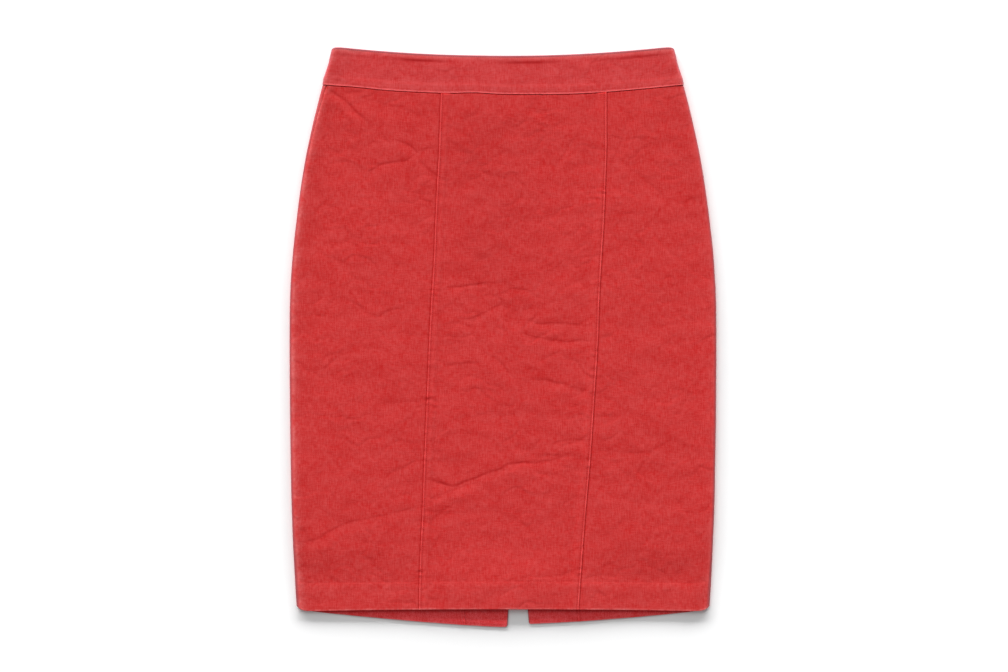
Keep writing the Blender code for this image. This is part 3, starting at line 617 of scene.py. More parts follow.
def edge_wear_and_painted_light(kind, d, patchy, lip_wear_and_highlight=0.85):
    """How bright, or below 0 how deep, a seam is at d inside it: wear, painted highlight and shade.
    """
    if kind == "lapped":
        # pale wear on the lip, with a painted highlight; painted shade in the stitching groove
        lip = lip_wear_and_highlight * hill(d - 0.7 * MM, 0.5 * MM) + 0.15 * hill(d - 5.5 * MM, 2 * MM)
        return lip * (0.4 + 0.6 * patchy) - 0.65 * hill(d - STITCH_IN, 0.6 * MM)
    if kind == "folded":
        return 0.5 * hill(d, 1.1 * MM) * patchy
    if kind == "under":
        # painted shade in the ditch beside the neighbour's lapped edge
        return -0.8 * hill(d - 0.6 * MM, 0.6 * MM)
    return -0.3 * hill(d, 0.7 * MM) + 0.2 * hill(d - 2 * MM, 1.2 * MM) * patchy


def worn_patches(s, y, seed):
    """Where wear has caught the cloth, 0 to 2."""
    broad, fine = ripples(s, y, 16 * MM, seed), ripples(s, y, 3 * MM, seed + 1)
    return np.clip(0.75 + 1.1 * broad + 0.8 * fine, 0, 2)


def painted_slope_light(relief, y):
    """Painted light and shade on a piece's slopes, from grids of relief and height."""
    slope = np.gradient(relief, axis=0) / np.maximum(np.gradient(y, axis=0), 0.05 * MM)
    slope = np.clip(slope, -PAINTED_SLOPE_LIMIT, PAINTED_SLOPE_LIMIT)
    return np.where(slope > 0, -PAINTED_SLOPE_SHADE, -PAINTED_SLOPE_LIGHT) * slope


def puckered(side, y, d):
    """Small pulls across a front seam, where its stitching is tight."""
    total = 0 * d
    phase = 3.5 * ripples(y, d, 26 * MM, 31) + 1.2 * ripples(y, d, 7 * MM, 32)
    patchy = smooth(0.6 + 1.2 * ripples(y, d, 12 * MM, 33))
    for pucker in PUCKERS:
        if pucker.side == side:
            up = y / MM - pucker.y
            wave = np.cos(2 * math.pi * up / pucker.pitch + phase)
            reach = np.exp(-np.abs(d) / (pucker.reach * MM)) * patchy
            height = PUCKER_SHARE * pucker.height * MM
            total = total + height * wave * hill(up, pucker.spread) * reach
    return total


# --- seams, each as the place s where it lies at height y ----------------------------


def front_seam_left(y, layer=PANELS):
    return at("seam_left", y)


def front_seam_right(y, layer=PANELS):
    return at("seam_right", y)


def side_seam_left(y, layer=PANELS):
    return -flat_half(y, layer) - at("wrap_left", y)


def side_seam_right(y, layer=PANELS):
    return flat_half(y, layer) + at("wrap_right", y)


def band_seam_left(y, layer=BAND):
    return -flat_half(y, layer) - math.pi * layer.radius * BAND_SEAM_TURN


def back_seam(side):
    def seam(y, layer=PANELS):
        waist, hem = BACK_SEAMS[side]
        x = mix(hem, waist, (y - SLIT_FOOT_Y) / (BACK_WAIST[1] - SLIT_FOOT_Y))
        return under_place(x, y, side, layer)

    return seam


def centre_back(side):
    def seam(y, layer=PANELS):
        zipped = smooth((y - TOP_Y + ZIP_LENGTH) / HEM_DEPTH)
        x = slit_edge(side, y) + side * mix(SEWN_GAP, ZIP_GAP / 2, zipped)
        return under_place(x, y, side, layer)

    return seam


# --- meshes --------------------------------------------------------------------------


def kept_indices(count, step):
    """One index in step from 0 to count - 1, with the last."""
    kept = list(range(0, count - 1, step))
    if len(kept) > 1 and count - 1 - kept[-1] < step / 2:
        kept.pop()
    return [*kept, count - 1]


def grid_faces(index):
    rings = index[:-1, :-1], index[:-1, 1:], index[1:, 1:], index[1:, :-1]
    return np.stack(rings, -1).reshape(-1, 4)


def rim_faces(outer, inner, rows, columns):
    """Faces between the border of a fine outer grid and that of a coarser inner one."""
    last_row, last_column = len(rows) - 1, len(columns) - 1
    faces = []
    for k in range(last_column):
        a, b = columns[k], columns[k + 1]
        faces.append([*outer[0, a : b + 1][::-1], inner[0, k], inner[0, k + 1]])
        faces.append([*outer[-1, a : b + 1], inner[last_row, k + 1], inner[last_row, k]])
    for k in range(last_row):
        a, b = rows[k], rows[k + 1]
        faces.append([*outer[a : b + 1, 0], inner[k + 1, 0], inner[k, 0]])
        far = inner[:, last_column]
        faces.append([*outer[a : b + 1, -1][::-1], far[k], far[k + 1]])
    return faces


def shell(name, outer, inner, places, looks, keep):
    """A closed shell between two grids of points, with its cloth places.

    Each look is a pair of grids, for the outer face and the inner one, which is the paler
    wrong side of the cloth.
    """
    rows, columns = (kept_indices(n, keep) for n in outer.shape[:2])
    some = np.ix_(rows, columns)
    outer_index = np.arange(outer.shape[0] * outer.shape[1]).reshape(outer.shape[:2])
    inner_index = np.arange(len(rows) * len(columns)).reshape(len(rows), len(columns))
    inner_index = inner_index + outer_index.size
    points = np.concatenate([outer.reshape(-1, 3), inner[some].reshape(-1, 3)])
    faces = grid_faces(outer_index).tolist() + grid_faces(inner_index)[:, ::-1].tolist()
    rim = rim_faces(outer_index, inner_index, rows, columns)
    faces += [[int(i) for i in face] for face in rim]
    mesh = bpy.data.meshes.new(name)
    mesh.from_pydata(points.tolist(), [], faces)
    cloth = np.concatenate([places.reshape(-1, 2), places[some].reshape(-1, 2)])
    corners = np.zeros(len(mesh.loops), np.int32)
    mesh.loops.foreach_get("vertex_index", corners)
    mesh.uv_layers.new(name="cloth").data.foreach_set("uv", cloth[corners].ravel())
    values = {
        label: np.concatenate([face.ravel(), lining[some].ravel()])
        for label, (face, lining) in looks.items()
    }
    values["inside"] = np.arange(len(points)) >= outer_index.size
    for label, value in values.items():
        data = mesh.attributes.new(label, "FLOAT", "POINT").data
        data.foreach_set("value", value.astype(np.float32))
    mesh.shade_smooth()
    mesh.validate()
    return add_object(name, mesh)


def add_object(name, data):
    made = bpy.data.objects.new(name, data)
    bpy.context.scene.collection.objects.link(made)
    return made


def add_smooth(name, points, faces):
    mesh = bpy.data.meshes.new(name)
    mesh.from_pydata(points.tolist(), [], faces)
    mesh.shade_smooth()
    return add_object(name, mesh)


def ring_faces(index):
    """Quads round tubes, from the numbers of their points ring by ring."""
    after = np.roll(index, -1, axis=-1)
    corners = index[..., :-1, :], after[..., :-1, :], after[..., 1:, :], index[..., 1:, :]
    return np.stack(corners, -1).reshape(-1, 4)


def crowded(count, bunch):
    """Fractions from 0 to 1, drawn towards 0 where bunch is over 1 and to 1 below -1."""
    t = np.linspace(0, 1, count + 1)
    return 1 - (1 - t) ** -bunch if bunch < 0 else t**bunch


Run = namedtuple("Run", "start end count bunch")


def runs_along(start, *stops):
    """Runs one after another. Each stop says where one ends, its columns and their bunching."""
    runs = []
    for end, count, bunch in stops:
        runs.append(Run(start, end, count, bunch))
        start = end
    return runs


def columns_of(runs, y):
    """Places across a piece: each run of columns, evaluated at its own columns' heights."""
    total = sum(run.count for run in runs) + 1
    y = np.broadcast_to(y, (y.shape[0], total))
    s, first = np.zeros(y.shape), 0
    for run in runs:
        cut = slice(first, first + run.count + 1)
        s[:, cut] = mix(run.start(y[:, cut]), run.end(y[:, cut]), crowded(run.count, run.bunch))
        first += run.count
    return s


def rows_up(step, extra=()):
    """Levels from hem to waist: fine round the hem's edge and its turned layer."""
    turned, top = HEM_DEPTH + TURN_ROWS, WAIST_Y + BAND_COVER - HEM_Y
    stops = [HEM_ROWS[-1], turned[0]], [turned[-1], top]
    even = [np.linspace(a, b, max(2, round((b - a) / step)) + 1)[1:-1] for a, b in stops]
    seam = WAIST_Y - HEM_Y + SEAM_ROWS
    levels = np.concatenate([HEM_ROWS, even[0], turned, even[1], seam, [top]]) + HEM_Y
    return np.unique(np.round(np.concatenate([levels, extra]), 6))


# --- cloth pieces --------------------------------------------------------------------


def edge_distances(piece, s, y, layer):
    """The kinds of a piece's low and high edges, and how far inside each its places lie."""
    low, high = piece.low(y, layer), piece.high(y, layer)
    return (piece.low_kind, s - low), (piece.high_kind, high - s)


def past_fold(s, y, layer):
    """How far places are past the middle of a side fold, below 0 on the front."""
    return np.abs(s) - (flat_half(y, layer) + fold_end(y, layer)) / 2


def cloth_piece(piece, state, s, y, layer, sizes, keep):
    """The shell of a gore or of a stretch of the band, over its grid of places."""
    relief, tuck, wall, looks = state(piece, s, y, sizes)
    worn, lining = looks["worn"]
    # painted light and shade on the slopes of the outer face, added to its wear
    looks["worn"] = worn + painted_slope_light(relief, y), lining
    outer = lay(s, y, layer, relief, tuck, wall)
    inner = lay(s, y, layer, relief, wall - tuck, wall)
    return shell(piece.name, outer, inner, np.stack([s, y], -1), looks, keep)


def outer_face(piece, state, layer, sizes):
    """Where a piece's outer face lies at places (s, y), moved out by an amount."""

    def surface(s, y, out):
        relief, tuck, wall, _ = state(piece, s, y, sizes)
        return lay(s, y, layer, relief + out, tuck, wall)

    return surface


def dress(piece, look, node=None):
    """Give a piece its look and body. With a node, it takes that solid's place."""
    piece.data.materials.append(look)
    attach(piece, frame["nodes"][node]["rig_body"] if node else "skirt")
    if node:
        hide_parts(node)
    return piece


def dress_sheet(piece, look, node):
    dress(piece, look, node)


# --- gores ---------------------------------------------------------------------------

Gore = namedtuple("Gore", "name low high low_kind high_kind side")


def gore_hem(gore, s, y):
    """The hem's edge, rounded off where the gore ends at the slit."""
    line = hem_line(s, PANELS)
    for kind, distance in edge_distances(gore, s, y, PANELS):
        if kind == "folded":
            line = line + rounded(np.maximum(distance, 0), SLIT_CORNER)
    return line


def gore_state(gore, s, y, sizes):
    """Relief, tuck, wall and looks of a gore at places (s, y)."""
    x, turn = across(s, y, PANELS)
    edges = edge_distances(gore, s, y, PANELS)
    (_, from_low), (_, from_high) = edges
    from_hem = y - gore_hem(gore, s, y)
    below_waist = waist_line(s, PANELS) - y
    front, crease_shade = creased(s, y, FRONT_CREASES, sizes.crease_strength)
    back, _ = creased(x, y, BACK_CREASES, sizes.crease_strength)
    relief = mix(front, back, smooth(turn * 2 - 0.5))
    quiet = 1 - 0.6 * hill(np.minimum(from_low, from_high), 3 * MM)
    relief += rippled(s, y, sizes.ripple_height) * quiet
    for kind, distance in edges:
        relief += edge_relief(kind, distance)
    for kind, distance in edges:
        if kind in ("lapped", "under"):
            left = gore.side < 0 or (gore.side == 0 and distance is from_low)
            strength = 1.0 if kind == "lapped" else PUCKER_UNDER
            relief += strength * (1 - turn) * puckered(-1 if left else 1, y, distance)
    # the hem's turned layer, its blind stitches and its edge
    hem_zone = 1 - smooth((from_hem - HEM_DEPTH + BLIND_IN) / (3 * MM))
    pull = 0.5 + 0.5 * np.cos(2 * math.pi * s / BLIND_PITCH + 2 * ripples(s, y, 40 * MM, 41))
    relief += HEM_RISE * hem_zone * (1 - turn)
    relief -= BLIND_SINK * pull * hill(from_hem - HEM_DEPTH + BLIND_IN, 1.2 * MM)
    relief += HEM_WAVE * ripples(s, y * 0.3, 7 * MM, 42) * hill(from_hem, 14 * MM)
    # the top edge sinks under the band
    relief -= WAIST_SINK * hill(np.maximum(below_waist, 0), 0.6 * MM)
    slit = gore.low_kind == "folded", gore.high_kind == "folded"
    wall = CLOTH * (1 + TURNED * smooth((HEM_DEPTH - from_hem) / STEP + 0.5))
    if any(slit):
        wall = wall + (CLOTH * (1 + doubled_under(x, y)) - wall) * (from_hem > HEM_DEPTH)
    wall = wall * (1 - PRESSED * (1 - smooth(from_hem / PRESSED_REACH)))
    tuck = edge_tuck("folded", from_hem, wall)
    for kind, distance in edges:
        tuck = np.maximum(tuck, edge_tuck(kind, distance, wall))
    patchy = worn_patches(s, y, 43)
    worn = edge_wear_and_painted_light(gore.low_kind, from_low, patchy)
    # a stronger painted highlight on the lip of the high edge
    worn = worn + edge_wear_and_painted_light(gore.high_kind, from_high, patchy, 1.4)
    # painted shade in the crease cores, and a painted shadow just under the waistband's lower edge
    worn = worn - 0.26 * crease_shade * (1 - turn) - 1.3 * hill(below_waist - 0.3 * MM, 0.6 * MM)
    # painted shadow: the inside of the back is darkened where the front's hem lies over it
    painted_hem_shadow = smooth((from_hem - back_drop(s, x)) / (5 * MM) + 1)
    lining = 0.3 * worn - 0.55 * painted_hem_shadow
    # the side folds and the hem's edge are rubbed pale, the left side more than the right as
    # painted light from the left
    folded = past_fold(s, y, PANELS)
    side = np.where(s < 0, 1.0, 0.25)
    worn = worn + 0.45 * side * hill(folded + 5 * MM, 1.8 * MM)
    rubbed = 0.22 * hill(folded + 5 * MM, 1.7 * MM) + 0.12 * hill(folded + 8 * MM, 4 * MM)
    hem_fade = 0.22 + 0.10 * hill(folded + 12 * MM, 12 * MM)
    faded = side * rubbed * patchy
    faded = faded + (hem_fade * hill(from_hem - 0.8 * MM, 1 * MM) + 0.02 * hem_zone) * patchy
    pale_lining = 0.45 * hill(from_hem, 1.1 * MM) * patchy
    # painted shade on the flanks of the side folds and along the slit's folded edges
    at_slit = hill(np.where(slit[0], from_low, from_high), 1 * MM) * any(slit)
    frayed = np.maximum(0.9 * at_slit, 0.95 * hill(folded + 1.6 * MM, 2 * MM))
    looks = {"worn": (worn, lining), "faded": (faded, pale_lining), "frayed": (frayed, frayed)}
    return relief, tuck, wall, looks


def make_gore(gore, runs, levels, sizes, keep):
    level = levels[:, None]
    s = columns_of(runs, level)
    hem = 1 - smooth((level - HEM_Y - EDGE_ZONE) / HEM_FADE)
    waist = 1 - smooth((WAIST_Y - level) / WAIST_FADE)
    y = level + 0 * s
    for _ in range(3):  # which place a column has depends on its height, and the other way
        below, above = gore_hem(gore, s, y) - HEM_Y, waist_line(s, PANELS) - WAIST_Y
        y = level + hem * below + waist * above
        s = columns_of(runs, y)
    return cloth_piece(gore, gore_state, s, y, PANELS, sizes, keep)


GORES = {
    name: Gore(name, *row)
    for name, row in {
        "front_centre": (front_seam_left, front_seam_right, "lapped", "lapped", 0),
        "front_side_left": (side_seam_left, front_seam_left, "plain", "under", -1),
        "front_side_right": (front_seam_right, side_seam_right, "under", "plain", 1),
        "back_side_left": (back_seam(-1), side_seam_left, "under", "plain", -1),
        "back_side_right": (side_seam_right, back_seam(1), "plain", "under", 1),
        "back_centre_left": (centre_back(-1), back_seam(-1), "folded", "lapped", -1),
        "back_centre_right": (back_seam(1), centre_back(1), "lapped", "folded", 1),
    }.items()
}


def shifted(place, amount):
    return lambda y: place(y) + amount


def front_edge(side, amount):
    """The start of a side fold, moved along the cloth."""
    return lambda y: side * flat_half(y, PANELS) + amount


def back_edge(side, amount):
    """The end of a side fold, on the underside, moved along the cloth."""
    return lambda y: side * fold_end(y, PANELS) + amount


def later(first, second):
    """Whichever place lies further on."""
    return lambda y: np.maximum(first(y), second(y))


def gore_runs():
    """The runs of columns across each gore, finer towards its edges."""
    left, right = front_seam_left, front_seam_right
    back_left, back_right = back_seam(-1), back_seam(1)
    slit_left, slit_right = centre_back(-1), centre_back(1)
    lap, near, fold = 10 * MM, 6 * MM, 8 * MM
    doubled, single = FACING_WIDTH - 1 * MM, FACING_WIDTH + 2 * MM
    behind_fold = later(back_edge(1, near), shifted(side_seam_right, fold))
    return {
        "front_centre": runs_along(
            left, (shifted(left, lap), 13, 1.7), (shifted(right, -lap), 140, 1), (right, 13, -1.7)
        ),
        "front_side_left": runs_along(
            side_seam_left, (front_edge(-1, fold), 15, 1.3), (shifted(left, -near), 104, 1),
            (shifted(left, UNDER_REACH), 10, -1.4),
        ),
        "front_side_right": runs_along(
            shifted(right, -UNDER_REACH), (shifted(right, near), 10, 1.4),
            (front_edge(1, -fold), 90, 1), (side_seam_right, 44, 1),
        ),
        "back_side_left": runs_along(
            shifted(back_left, -UNDER_REACH), (shifted(back_left, near), 7, 1.4),
            (back_edge(-1, -near), 46, 1), (side_seam_left, 14, -1.2),
        ),
        "back_side_right": runs_along(
            side_seam_right, (behind_fold, 14, 1.2), (shifted(back_right, -near), 42, 1),
            (shifted(back_right, UNDER_REACH), 7, -1.4),
        ),
        "back_centre_left": runs_along(
            slit_left, (shifted(slit_left, near), 10, 1.8), (shifted(slit_left, doubled), 12, 1),
            (shifted(slit_left, single), 5, 1), (shifted(back_left, -near), 5, 1),
            (back_left, 10, -1.7),
        ),
        "back_centre_right": runs_along(
            back_right, (shifted(back_right, near), 10, 1.7), (shifted(slit_right, -single), 5, 1),
            (shifted(slit_right, -doubled), 5, 1), (shifted(slit_right, -near), 12, 1),
            (slit_right, 10, -1.8),
        ),
    }


# --- waistband -----------------------------------------------------------------------

Stretch = namedtuple("Stretch", "name low high low_kind high_kind")
STRETCHES = (
    Stretch("waistband_front", band_seam_left, side_seam_right, "plain", "plain"),
    Stretch("waistband_back_left", centre_back(-1), band_seam_left, "folded", "plain"),
    Stretch("waistband_back_right", side_seam_right, centre_back(1), "plain", "folded"),
)


def band_state(stretch, s, y, sizes):
    """Relief, tuck, wall and looks of the waistband at places (s, y)."""
    x, turn = across(s, y, BAND)
    edges = edge_distances(stretch, s, y, BAND)
    above_waist, below_top = y - waist_line(s, BAND), top_line(s, BAND) - y
    relief = rippled(s, y, sizes.ripple_height * 0.8)
    relief += BAND_WAVE * ripples(s, y * 0.4, 9 * MM, 51)
    for kind, distance in edges:
        relief += edge_relief(kind, distance)
    uneven = np.clip(0.45 + 1.6 * ripples(s, 0 * y, 60 * MM, 52), 0, 1.3)
    relief += BAND_TURN * uneven * (1 - smooth((below_top - BAND_TURN_DEPTH) / (2 * MM)))
    # down to the panels at the waist seam
    near_fold = smooth((np.abs(s) - flat_half(y, BAND)) / (6 * MM) + 1)
    fall = BAND_FALL * np.clip(1 - above_waist / (TOP_Y - WAIST_Y), 0, 1)
    relief -= fall * (1 - 0.4 * near_fold)
    relief += WAIST_TURN * (1 - smooth((above_waist - WAIST_TURN_DEPTH) / (3 * MM)))
    for distance, share in ((above_waist, 0.5), (below_top, 0.5 * uneven)):
        relief -= share * STITCH_SINK * hill(distance - STITCH_IN, 0.7 * MM)
    relief += BAND_PULL * np.cos(2 * math.pi * s / (6 * MM)) * hill(above_waist, 5 * MM)
    # one cloth beside the zip and at the lower edge, and the full wall elsewhere
    beside_zip = (np.abs(x - back_centre(y)) - ZIP_TAPE_HALF - STEP) / (2 * STEP)
    thick = mix(CLOTH, BAND_WALL, np.where(turn >= 1, smooth(beside_zip), 1))
    thin_edge = BAND_EDGE_WALL + 0.9 * MM * smooth((above_waist - BAND_COVER) / (4 * MM))
    wall = np.minimum(thick, mix(thin_edge, BAND_WALL, smooth((above_waist - 6 * MM) / (3 * MM))))
    tuck = edge_tuck("folded", above_waist, wall)
    for kind, distance in (("folded", below_top), *edges):
        tuck = np.maximum(tuck, edge_tuck(kind, distance, wall))
    patchy = worn_patches(s, y, 53)
    # the lower edge: pale wear with a painted highlight; painted shade along its stitching and
    # under the ridge of the allowance turned in at the top
    worn = 2.0 * hill(above_waist - 0.8 * MM, 0.8 * MM) * (0.4 + 0.6 * patchy)
    worn += 0.25 * hill(below_top - 2.8 * MM, 1.6 * MM)
    worn -= 0.30 * hill(above_waist - STITCH_IN, 0.6 * MM)
    worn -= 0.25 * hill(below_top - 8 * MM, 2 * MM) * uneven
    for kind, distance in edges:
        worn += edge_wear_and_painted_light(kind, distance, patchy)
    folded = past_fold(s, y, BAND)
    near = hill(np.minimum(folded + 8 * MM, 0), 22 * MM)
    faded = 0.17 * (1 - smooth((below_top - 2 * MM) / (5 * MM)))
    faded = faded + 0.12 * hill(below_top, 10 * MM) * near
    faded = (faded + 0.03 * hill(above_waist - 5 * MM, 5 * MM)) * (0.5 + 0.5 * patchy)
    faded = faded + 0.16 * hill(folded + 5 * MM, 4 * MM) * patchy
    # painted shade on the flanks of the side folds, and a grey edge along the top
    frayed = 0.95 * hill(folded + 1.6 * MM, 2 * MM)
    frayed = np.maximum(hill(below_top - 0.5 * MM, 1.2 * MM), frayed)
    looks = {"worn": (worn, 0.3 * worn), "faded": (faded, 0.3 * faded), "frayed": (frayed, frayed)}
    return relief, tuck, wall, looks


def make_band(stretch, sizes):
    """A stretch of the band: its rows follow the waist seam and the top edge."""
    depth = TOP_Y - WAIST_Y
    inner = depth - BAND_ROWS[-1]
    middle = np.linspace(BAND_ROWS[-1], inner, round(depth / BAND_STEP) - 6)[1:-1]
    rows = np.concatenate([BAND_ROWS, middle, depth - BAND_ROWS[::-1]]) / depth
    level = mix(WAIST_Y, TOP_Y, rows)[:, None]
    share = (level - WAIST_Y) / (TOP_Y - WAIST_Y)

    def start(y):
        return stretch.low(y, BAND)

    def end(y):
        return stretch.high(y, BAND)

    length = float(np.mean(end(level) - start(level)))
    edge = 5 * MM
    runs = runs_along(
        start, (shifted(start, edge), 8, 1.6),
        (shifted(end, -edge), round(length / BAND_STEP), 1), (end, 8, -1.6),
    )
    s = columns_of(runs, level)
    for _ in range(2):
        y = mix(waist_line(s, BAND), top_line(s, BAND), share)
        s = columns_of(runs, y)
    return cloth_piece(stretch, band_state, s, y, BAND, sizes, 1)


# --- stitching -----------------------------------------------------------------------


def unit(vectors):
    return vectors / np.linalg.norm(vectors, axis=-1, keepdims=True)


def stitches(name, surface, s, y, pitch, length, radius, crossing=False):
    """Stitches in one mesh, pulled into the cloth, along a line of places or crossing it."""
    line = surface(s, y, 0)
    run = np.concatenate([[0], np.cumsum(np.linalg.norm(np.diff(line, axis=0), axis=1))])
    stations = np.arange(pitch / 2, run[-1], pitch)
    centre, above = (
        surface(np.interp(stations, run, s), np.interp(stations, run, y), out)
        for out in (0, -1 * MM)
    )
    ahead, behind = (
        np.stack([np.interp(stations + step, run, line[:, k]) for k in range(3)], -1)
        for step in (pitch / 4, -pitch / 4)
    )
    along = unit(ahead - behind)
    out = centre - above
    out = unit(out - along * np.sum(out * along, axis=1, keepdims=True))
    sideways = np.cross(along, out)
    if crossing:
        along, sideways = sideways, -along
    u = np.linspace(-1, 1, STITCH_RINGS)
    turn = np.linspace(0, 2 * math.pi, STITCH_SIDES, endpoint=False)
    girth = radius * np.sqrt(1 - 0.75 * u**4)
    height = STITCH_PROUD - radius * (1 + 0.9 * u**4)
    points = (
        centre[:, None, None]
        + along[:, None, None] * (u * length / 2)[None, :, None, None]
        + out[:, None, None] * (height[:, None] + girth[:, None] * np.cos(turn))[None, :, :, None]
        + sideways[:, None, None] * (girth[:, None] * np.sin(turn))[None, :, :, None]
    )
    points[..., 2] = np.maximum(points[..., 2], 0.02 * MM)
    index = np.arange(points[..., 0].size).reshape(points.shape[:-1])
    ends = [*index[:, 0, ::-1].tolist(), *index[:, -1].tolist()]
    return add_smooth(name, points.reshape(-1, 3), ring_faces(index)[:, ::-1].tolist() + ends)


# --- materials -----------------------------------------------------------------------


def add(tree, kind, inputs=None, **settings):
    """A shader node with its settings, and its inputs linked or given a value."""
    made = tree.nodes.new("ShaderNode" + kind)
    for name, value in settings.items():
        setattr(made, name, value)
    for name, value in (inputs or {}).items():
        socket = made.inputs[name]
        if isinstance(value, bpy.types.NodeSocket):
            tree.links.new(value, socket)
        else:
            socket.default_value = value
    return made


def arithmetic(tree, operation, a, b):
    return add(tree, "Math", {0: a, 1: b}, operation=operation).outputs[0]


def blended(tree, factor, a, b):
    """A colour between two, by a factor."""
    inputs = {"Factor": factor, 6: a, 7: b}
    return add(tree, "Mix", inputs, data_type="RGBA", clamp_factor=True).outputs[2]


def noise(tree, vector, scale, detail, roughness=0.5, distortion=0.0):
    inputs = {
        "Vector": vector, "Scale": scale, "Detail": detail,
        "Roughness": roughness, "Distortion": distortion,
    }
    return add(tree, "TexNoise", inputs, noise_dimensions="2D").outputs[0]


def stretched(tree, vector, x, y):
    """Cloth places squeezed so that a noise of scale 1 has features of size x by y."""
    return add(tree, "Mapping", {"Vector": vector, "Scale": (1 / x, 1 / y, 1)}).outputs[0]


def lit(colour, factor):
    return (*(channel * factor for channel in colour), 1.0)


def new_material(name, values):
    """A material, its tree and its shader with values on its own sockets."""
    made = bpy.data.materials.new(name)
    made.use_nodes = True
    shader = made.node_tree.nodes["Principled BSDF"]
    for socket, value in values.items():
        shader.inputs[socket].default_value = value
    return made, made.node_tree, shader


def surfaced(tree, shader, colour, height, strength, depth):
    """Give a shader its colour, and its relief as a bump of a real depth."""
    bump = add(tree, "Bump", {"Height": height, "Strength": strength, "Distance": depth})
    tree.links.new(colour, shader.inputs["Base Color"])
    tree.links.new(bump.outputs[0], shader.inputs["Normal"])


PALE = (0.86, 0.34, 0.33)  # undyed core of the yarns, tinted by the dye that is left


def denim(name, colour, contrast):
    """Washed red denim: heathered yarns, slubs both ways, a twill, paler where rubbed, and the
    painted light and shade its pieces carry.
    """
    made, tree, shader = new_material(name, {
        "Roughness": 0.9, "Sheen Weight": 0.03, "Sheen Roughness": 0.5,
        "Sheen Tint": (1.0, 0.62, 0.6, 1.0), "Specular IOR Level": 0.04,
    })
    red, green, blue = colour

    def dyed(more_red, more_green, more_blue):
        return red * more_red, green * more_green, blue * more_blue, 1.0

    # the noises' sizes are in millimetres along and across the cloth
    cloth = add(tree, "UVMap", uv_map="cloth").outputs[0]
    cloth = add(tree, "VectorMath", {0: cloth, "Scale": 1000.0}, operation="SCALE").outputs[0]
    wash = noise(tree, cloth, 0.035, 3, 0.6)
    marble = noise(tree, cloth, 0.13, 3, 0.65, 0.4)
    warp = noise(tree, stretched(tree, cloth, 1.25, 9.0), 1.0, 2, 0.5)
    weft = noise(tree, stretched(tree, cloth, 6.0, 1.4), 1.0, 2, 0.5)
    grain = noise(tree, cloth, 0.95, 2, 0.7)
    shade = 0.5
    for part, weight in ((wash, 0.55), (marble, 0.90), (warp, 1.08), (weft, 0.80), (grain, 0.58)):
        offset = arithmetic(tree, "SUBTRACT", part, 0.5)
        offset = arithmetic(tree, "MULTIPLY", offset, weight * contrast)
        shade = arithmetic(tree, "ADD", shade, offset)
    ramp = add(tree, "ValToRGB", {"Fac": shade})
    deep, pale = ramp.color_ramp.elements
    deep.color, pale.color = dyed(0.925, 0.50, 0.50), dyed(1.075, 1.52, 1.52)
    worn, faded, frayed, inside = (
        add(tree, "Attribute", attribute_name=label).outputs["Fac"]
        for label in ("worn", "faded", "frayed", "inside")
    )
    patches = arithmetic(tree, "ADD", grain, 0.3)
    specks = add(tree, "MapRange", {"Value": grain, "From Min": 0.38, "From Max": 0.62}).outputs[0]
    wrong_side = blended(tree, specks, (1.60, 1.40, 1.55, 1.0), (1.80, 2.6, 2.9, 1.0))
    inputs = {"Factor": inside, 6: ramp.outputs[0], 7: wrong_side}
    finish = add(tree, "Mix", inputs, data_type="RGBA", blend_type="MULTIPLY").outputs[2]
    undyed = *(mix(own, core, 0.85) for own, core in zip(colour, PALE)), 1.0
    # paler for wear and painted light, deeper for painted shade, then the undyed fade of wear
    for factor, share, tint in (
        (worn, patches, dyed(1.45, 2.2, 2.2)),
        (worn, -1.0, dyed(0.80, 0.26, 0.28)),
        (faded, patches, undyed),
    ):
        finish = blended(tree, arithmetic(tree, "MULTIPLY", factor, share), finish, tint)
    # painted shade on fold flanks and slit edges, and the band's grey top edge
    finish = blended(tree, frayed, finish, dyed(0.6, 2.3, 2.6))
    inputs = {
        "Vector": cloth, "Scale": 0.28, "Distortion": 0.8, "Detail": 1.0, "Detail Scale": 1.5,
    }
    twill = add(tree, "TexWave", inputs, wave_type="BANDS", bands_direction="DIAGONAL")
    height = arithmetic(tree, "MULTIPLY", twill.outputs["Fac"], 0.3)
    for part, weight in ((warp, 0.8), (weft, 0.8), (grain, 0.6), (marble, 1.0)):
        height = arithmetic(tree, "ADD", height, arithmetic(tree, "MULTIPLY", part, weight))
    surfaced(tree, shader, finish, height, 0.36, 0.15 * MM)
    return made


def thread_material(name, colour):
    """Twisted polyester thread: fine bands across it."""
    made, tree, shader = new_material(name, {"Roughness": 0.6, "Sheen Weight": 0.2})
    places = add(tree, "TexCoord").outputs["Object"]
    twist = noise(tree, places, 2200.0, 1)
    shades = blended(tree, twist, lit(colour, 0.8), lit(colour, 1.15))
    surfaced(tree, shader, shades, twist, 0.4, 0.05 * MM)
    return made


def tape_material(name, colour):
    """Close ribs of the zip tape."""
    made, tree, shader = new_material(name, {"Roughness": 0.75})
    places = add(tree, "TexCoord").outputs["Object"]
    inputs = {"Vector": places, "Scale": 420.0, "Distortion": 0.5}
    ribs = add(tree, "TexWave", inputs, wave_type="BANDS", bands_direction="Y").outputs["Fac"]
    shades = blended(tree, ribs, lit(colour, 0.75), lit(colour, 1.1))
    surfaced(tree, shader, shades, ribs, 0.5, 0.12 * MM)
    return made


